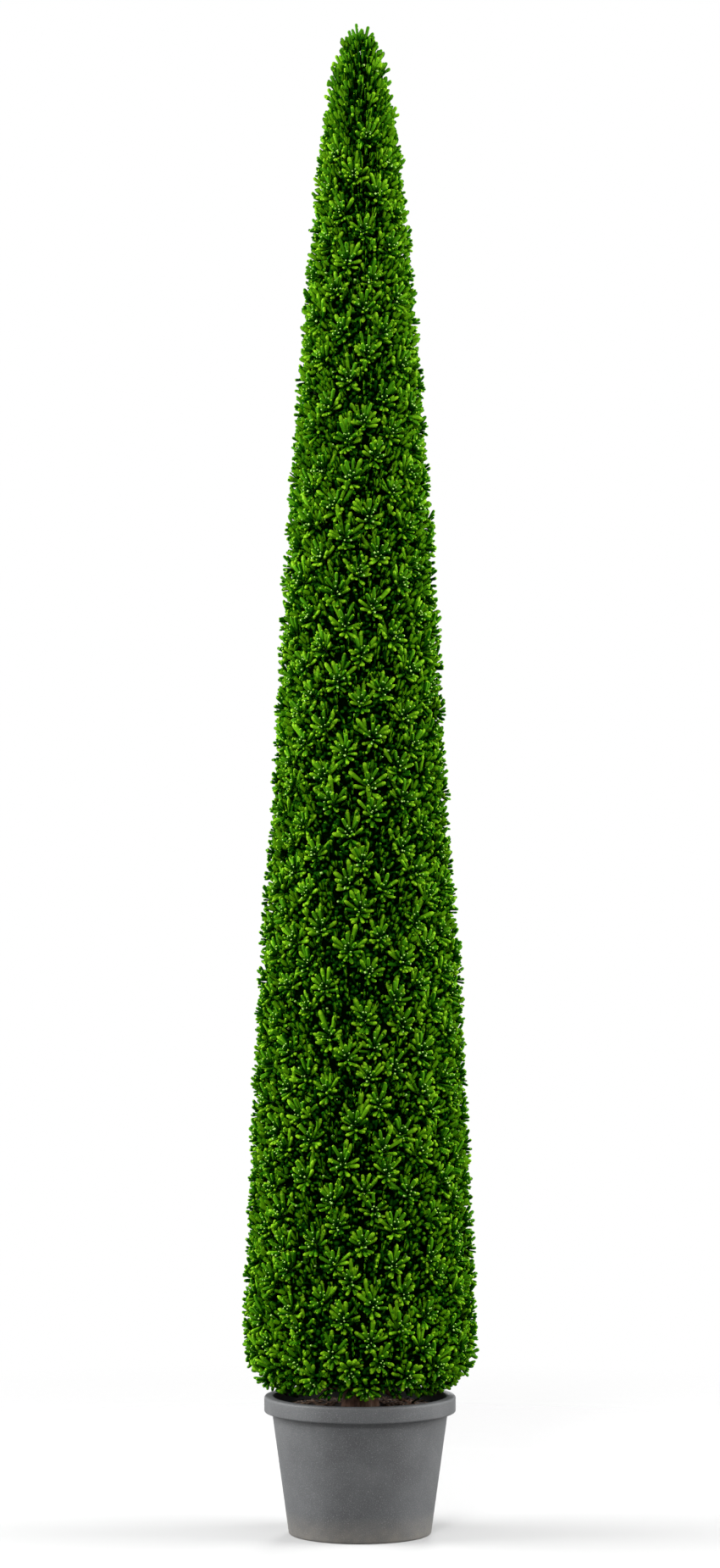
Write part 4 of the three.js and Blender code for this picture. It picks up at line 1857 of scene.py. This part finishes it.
@dataclass
class Foliage:
    """All the green of the crown, joined by kind and by tier into pieces."""

    crown: CrownForm
    rosette_spiral: Spiral = Spiral(560, 0.0, 0.2)
    rosettes_below_tip: float = 0.36
    fan_spiral: Spiral = Spiral(3700, 0.5, 0.07)
    fans_below_tip: float = 0.3
    fan_clearance: float = 0.066
    widest: float = 0.3995
    tier_groups: Groups = ((0, 1), (1, 2), (2, 3), (3, 4), (4, 6), (6, 9))
    halves: Groups = ((0, 4), (4, 9))
    whole: Groups = ((0, 9),)
    upper: Groups = ((5, 9),)
    leader: Groups = ((8, 9),)
    greens: list[Material] = field(default_factory=lambda: [green.value.make() for green in Green])

    def split(
        self,
        name: str,
        kinds: list[tuple[Fingers, FingerForm]],
        past: float,
        groups: Groups,
    ) -> None:
        """Joins fingers into one piece for each group of tiers.

        Args:
            name: The start of the pieces' names.
            kinds: Fingers, each with the form they take.
            past: How far past the outline their ends may lie.
            groups: First tier and the tier after the last of each piece.
        """
        for first, after in groups:
            parts: list[Surface] = []
            for fingers, form in kinds:
                tier = self.crown.tier_of(fingers.base[:, 2] + 0.02)
                mine = fingers.chosen((tier >= first) & (tier < after))
                if len(mine):
                    parts.append(mine.kept_within(self.crown, past, self.widest).surface(form))
            nodes = self.crown.nodes_of(first, after)
            Surface.joined(parts).to_piece(f"{name}_{first + 1}", self.greens, "foliage", nodes)

    def layers(self) -> list[LeafLayer]:
        """Sizes the filling between and below the rosettes.

        Returns:
            The layers of short leaves, of small ones and of inner ones.
        """
        # The deeper layers take darker tones, as painted shade, and some tips bright or pale greens,
        # partly as painted highlight.
        short = LeafLayer(
            self.crown, 4200, depths=(0.002, 0.022), stray=0.07,
            width=(0.0135, 0.0175), length=(0.032, 0.046),
            tones={Tone.PAD: 0.55, Tone.FLANK: 0.45}, uneven=0.002, flatness=0.38, on_edge=True,
        )
        small = LeafLayer(
            self.crown, 4200, depths=(0.022, 0.056), stray=0.45,
            width=(0.0085, 0.0120), length=(0.034, 0.046),
            tones={Tone.FRESH: 0.05, Tone.CHAIN: 0.25, Tone.NUB: 0.60, Tone.BUD: 0.10},
        )
        inner = LeafLayer(
            self.crown, 8000, depths=(0.030, 0.042), stray=0.45,
            width=(0.0120, 0.0160), length=(0.030, 0.042),
            tones={Tone.NUB: 0.42, Tone.DIM: 0.58},
        )
        return [short, small, inner]

    def between(self, rosettes: Shoots, rng: Random) -> Shoots:
        """Finds room for the fans.

        Args:
            rosettes: The rosettes' shoots, which the fans keep clear of.
            rng: Draws how the fans' shoots stray.

        Returns:
            The fans' shoots.
        """
        shoots = self.fan_spiral.shoots(self.crown, rng)
        girth = np.clip(self.crown.outline(shoots.tip[:, 2]) / 0.3, 0.6, 1.0)
        free = rosettes.clearance(shoots.tip) > self.fan_clearance * girth
        return shoots.chosen(free & (shoots.tip[:, 2] < self.crown.top - self.fans_below_tip))

    def build(self, rng: Random) -> Shoots:
        """Grows all the foliage.

        Args:
            rng: Draws everything that varies.

        Returns:
            The rosettes' shoots, for the twigs.
        """
        rosettes = self.rosette_spiral.shoots(self.crown, rng)
        highest = self.crown.top - self.rosettes_below_tip
        rosettes = rosettes.chosen(rosettes.tip[:, 2] < highest)
        heads = Rosettes(rosettes).fingers(rng)
        fans = Fans(self.between(rosettes, rng)).fingers(rng)
        hands = Hands(self.crown).fingers(rng)
        sprigs = TopSprigs(self.crown).fingers(rng)
        by_tip = ForkedSprigs(self.crown, 44, (0.09, 0.52)).fingers(rng)
        below = ForkedSprigs(self.crown, 130, (0.54, 4.45)).fingers(rng)
        forked = Fingers(*joined_fields([by_tip, below]))
        short, small, inner = (layer.fingers(rosettes, rng) for layer in self.layers())
        for name, kinds, past, groups in (
            ("rosettes", heads, 0.007, self.tier_groups),
            ("top_sprigs", [(sprigs, ROUND)], 0.06, self.leader),
            ("flat_sprays", [(fans, PAD)], 0.006, self.halves),
            ("forked_sprigs", [(forked, PLUMP)], 0.024, self.whole),
            ("upright_sprays", [(hands, PAD)], 0.014, self.upper),
            ("short_leaves", [(short, PAD)], 0.006, self.halves),
            ("small_leaves", [(small, TINY)], 0.0, self.halves),
            ("inner_leaves", [(inner, TINY)], 0.0, self.halves),
        ):
            self.split(name, kinds, past, groups)
        return rosettes


# The picture


@dataclass(frozen=True)
class Lamp:
    """A square area light that looks at a target."""

    name: str
    place: Triple
    size: float
    power: float
    target: Triple = (0.0, 0.0, 2.6)

    def build(self) -> None:
        """Makes the light."""
        data = bpy.data.lights.new(self.name, "AREA")
        data.size, data.energy = self.size, self.power
        lamp = put_in_scene(self.name, data)
        lamp.location = self.place
        aim = Vector(self.target) - Vector(self.place)
        lamp.rotation_euler = aim.to_track_quat("-Z", "Y").to_euler()


@dataclass
class Studio:
    """The camera, a pale floor, a white backdrop all round, and soft lights."""

    low: Vector
    high: Vector
    distance: float = 15.5
    coverage: float = 5.24
    below_middle: float = 0.02
    sensor: float = 36.0
    clip_end: float = 200.0
    floor_radius: float = 5.0
    floor_depth: float = 0.0005
    floor_sides: int = 96
    fade: Range = (0.4, 0.9)
    pot_foot: float = 0.23
    dome_radius: float = 70.0
    dome_rings: int = 34
    dome_sides: int = 64
    world_strength: float = 0.32
    lamps: tuple[Lamp, ...] = (
        Lamp("key", (-1.8, -9.8, 6.8), 1.8, 1020),
        Lamp("left", (-6.4, 0.0, 4.4), 6.0, 1820),
        Lamp("right", (6.4, 0.0, 4.4), 6.0, 1600),
        Lamp("top", (0.4, -2.6, 9.6), 4.0, 250, target=(0.0, -0.8, 0.0)),
        Lamp("back", (1.5, 10.0, 6.4), 2.6, 900),
    )

    def camera(self) -> None:
        """Sets a level camera in front, as far away as the photograph's own."""
        data = bpy.data.cameras.new("camera")
        data.sensor_width = self.sensor
        data.lens = self.sensor * self.distance / self.coverage
        data.clip_end = self.clip_end
        camera = put_in_scene("camera", data)
        middle = (self.low.z + self.high.z) / 2
        camera.location = (0, -self.distance, middle - self.below_middle)
        camera.rotation_euler = (math.radians(90), 0, 0)
        bpy.context.scene.camera = camera

    def floor_finish(self) -> Material:
        """Makes the floor's material.

        Returns:
            A pale grey that is clear from below and under the pot, and fades away to the rim.
        """
        sheet = NodeSheet("pale_floor")
        sheet.set(Base_Color=(0.30, 0.30, 0.30, 1), Roughness=0.9, Specular_IOR_Level=0.1)
        reach = sheet.add("VectorMath", {0: sheet.place()}, operation="LENGTH").outputs["Value"]
        first, last = (share * self.floor_radius for share in self.fade)
        hidden = sheet.mapped(reach, (first, last))
        below = sheet.add("NewGeometry", {}).outputs["Backfacing"]
        for other in (sheet.maths("LESS_THAN", reach, self.pot_foot), below):
            hidden = sheet.maths("MAXIMUM", hidden, other)
        clear = sheet.add("BsdfTransparent", {}).outputs[0]
        mixed = sheet.add("MixShader", {0: hidden, 1: sheet.shader.outputs[0], 2: clear})
        sheet.put(sheet.tree.nodes["Material Output"].inputs["Surface"], mixed.outputs[0])
        return sheet.material

    def floor(self) -> None:
        """Lays a round pale floor."""
        sides = self.floor_sides
        rim = polar(self.floor_radius, ring_angles(sides), -self.floor_depth)
        mesh = bpy.data.meshes.new("floor")
        mesh.from_pydata(rim.tolist(), [], [list(range(sides))])
        mesh.materials.append(self.floor_finish())
        floor = put_in_scene("floor", mesh)
        floor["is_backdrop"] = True

    def backdrop(self) -> None:
        """Sets a white dome all round, which the camera sees and which gives no light."""
        rise = np.linspace(-math.pi / 2, math.pi / 2, self.dome_rings)
        profile = self.dome_radius * np.stack([np.cos(rise), np.sin(rise)], axis=-1)
        sheet = NodeSheet("white_backdrop")
        sheet.set(Base_Color=(0, 0, 0, 1), Specular_IOR_Level=0.0)
        sheet.set(Emission_Color=(1, 1, 1, 1), Emission_Strength=1.0)
        dome = turned_shell(profile, self.dome_sides).to_mesh("backdrop", [sheet.material])
        backdrop = put_in_scene("backdrop", dome)
        for kind in ("diffuse", "glossy", "transmission", "volume_scatter", "shadow"):
            setattr(backdrop, f"visible_{kind}", False)
        backdrop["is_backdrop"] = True

    def build(self) -> None:
        """Sets up the camera, the floor, the backdrop and the lights."""
        self.camera()
        self.floor()
        self.backdrop()
        for lamp in self.lamps:
            lamp.build()
        world = bpy.data.worlds.new("studio")
        world.use_nodes = True
        light = world.node_tree.nodes["Background"].inputs
        light["Color"].default_value = (1, 1, 1, 1)
        light["Strength"].default_value = self.world_strength
        bpy.context.scene.world = world
        bpy.context.scene.view_settings.view_transform = "Standard"


def main() -> None:
    """Builds the picture, the pot, the trunk and the crown."""
    logging.basicConfig(level=logging.INFO, format="%(message)s")
    rng = np.random.default_rng(SEED)
    low, high = CAD_BOX
    Studio(low, high).build()
    _, pot_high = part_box("pot")
    pot = Pot(height=pot_high.z, rim_radius=pot_high.x)
    pot.build()
    soil = Soil(pot, top=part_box("soil")[1].z)
    soil.build(rng)
    Chips(soil).build(rng)
    trunk_low, trunk_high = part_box("trunk")
    line = TrunkLine(foot=trunk_low.z, tip=trunk_high.z)
    Trunk(line).build(rng)
    crown = CrownForm(bottom=pot_high.z + CROWN_OVER_RIM, top=high.z)
    ShadeCore(crown).build(rng)
    rosettes = Foliage(crown).build(rng)
    Boughs(crown, line).build(rosettes, rng)
    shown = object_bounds()
    {"cad": [list(corner) for corner in CAD_BOX], "visual": [list(corner) for corner in shown]}


if __name__ == "__main__":
    main()
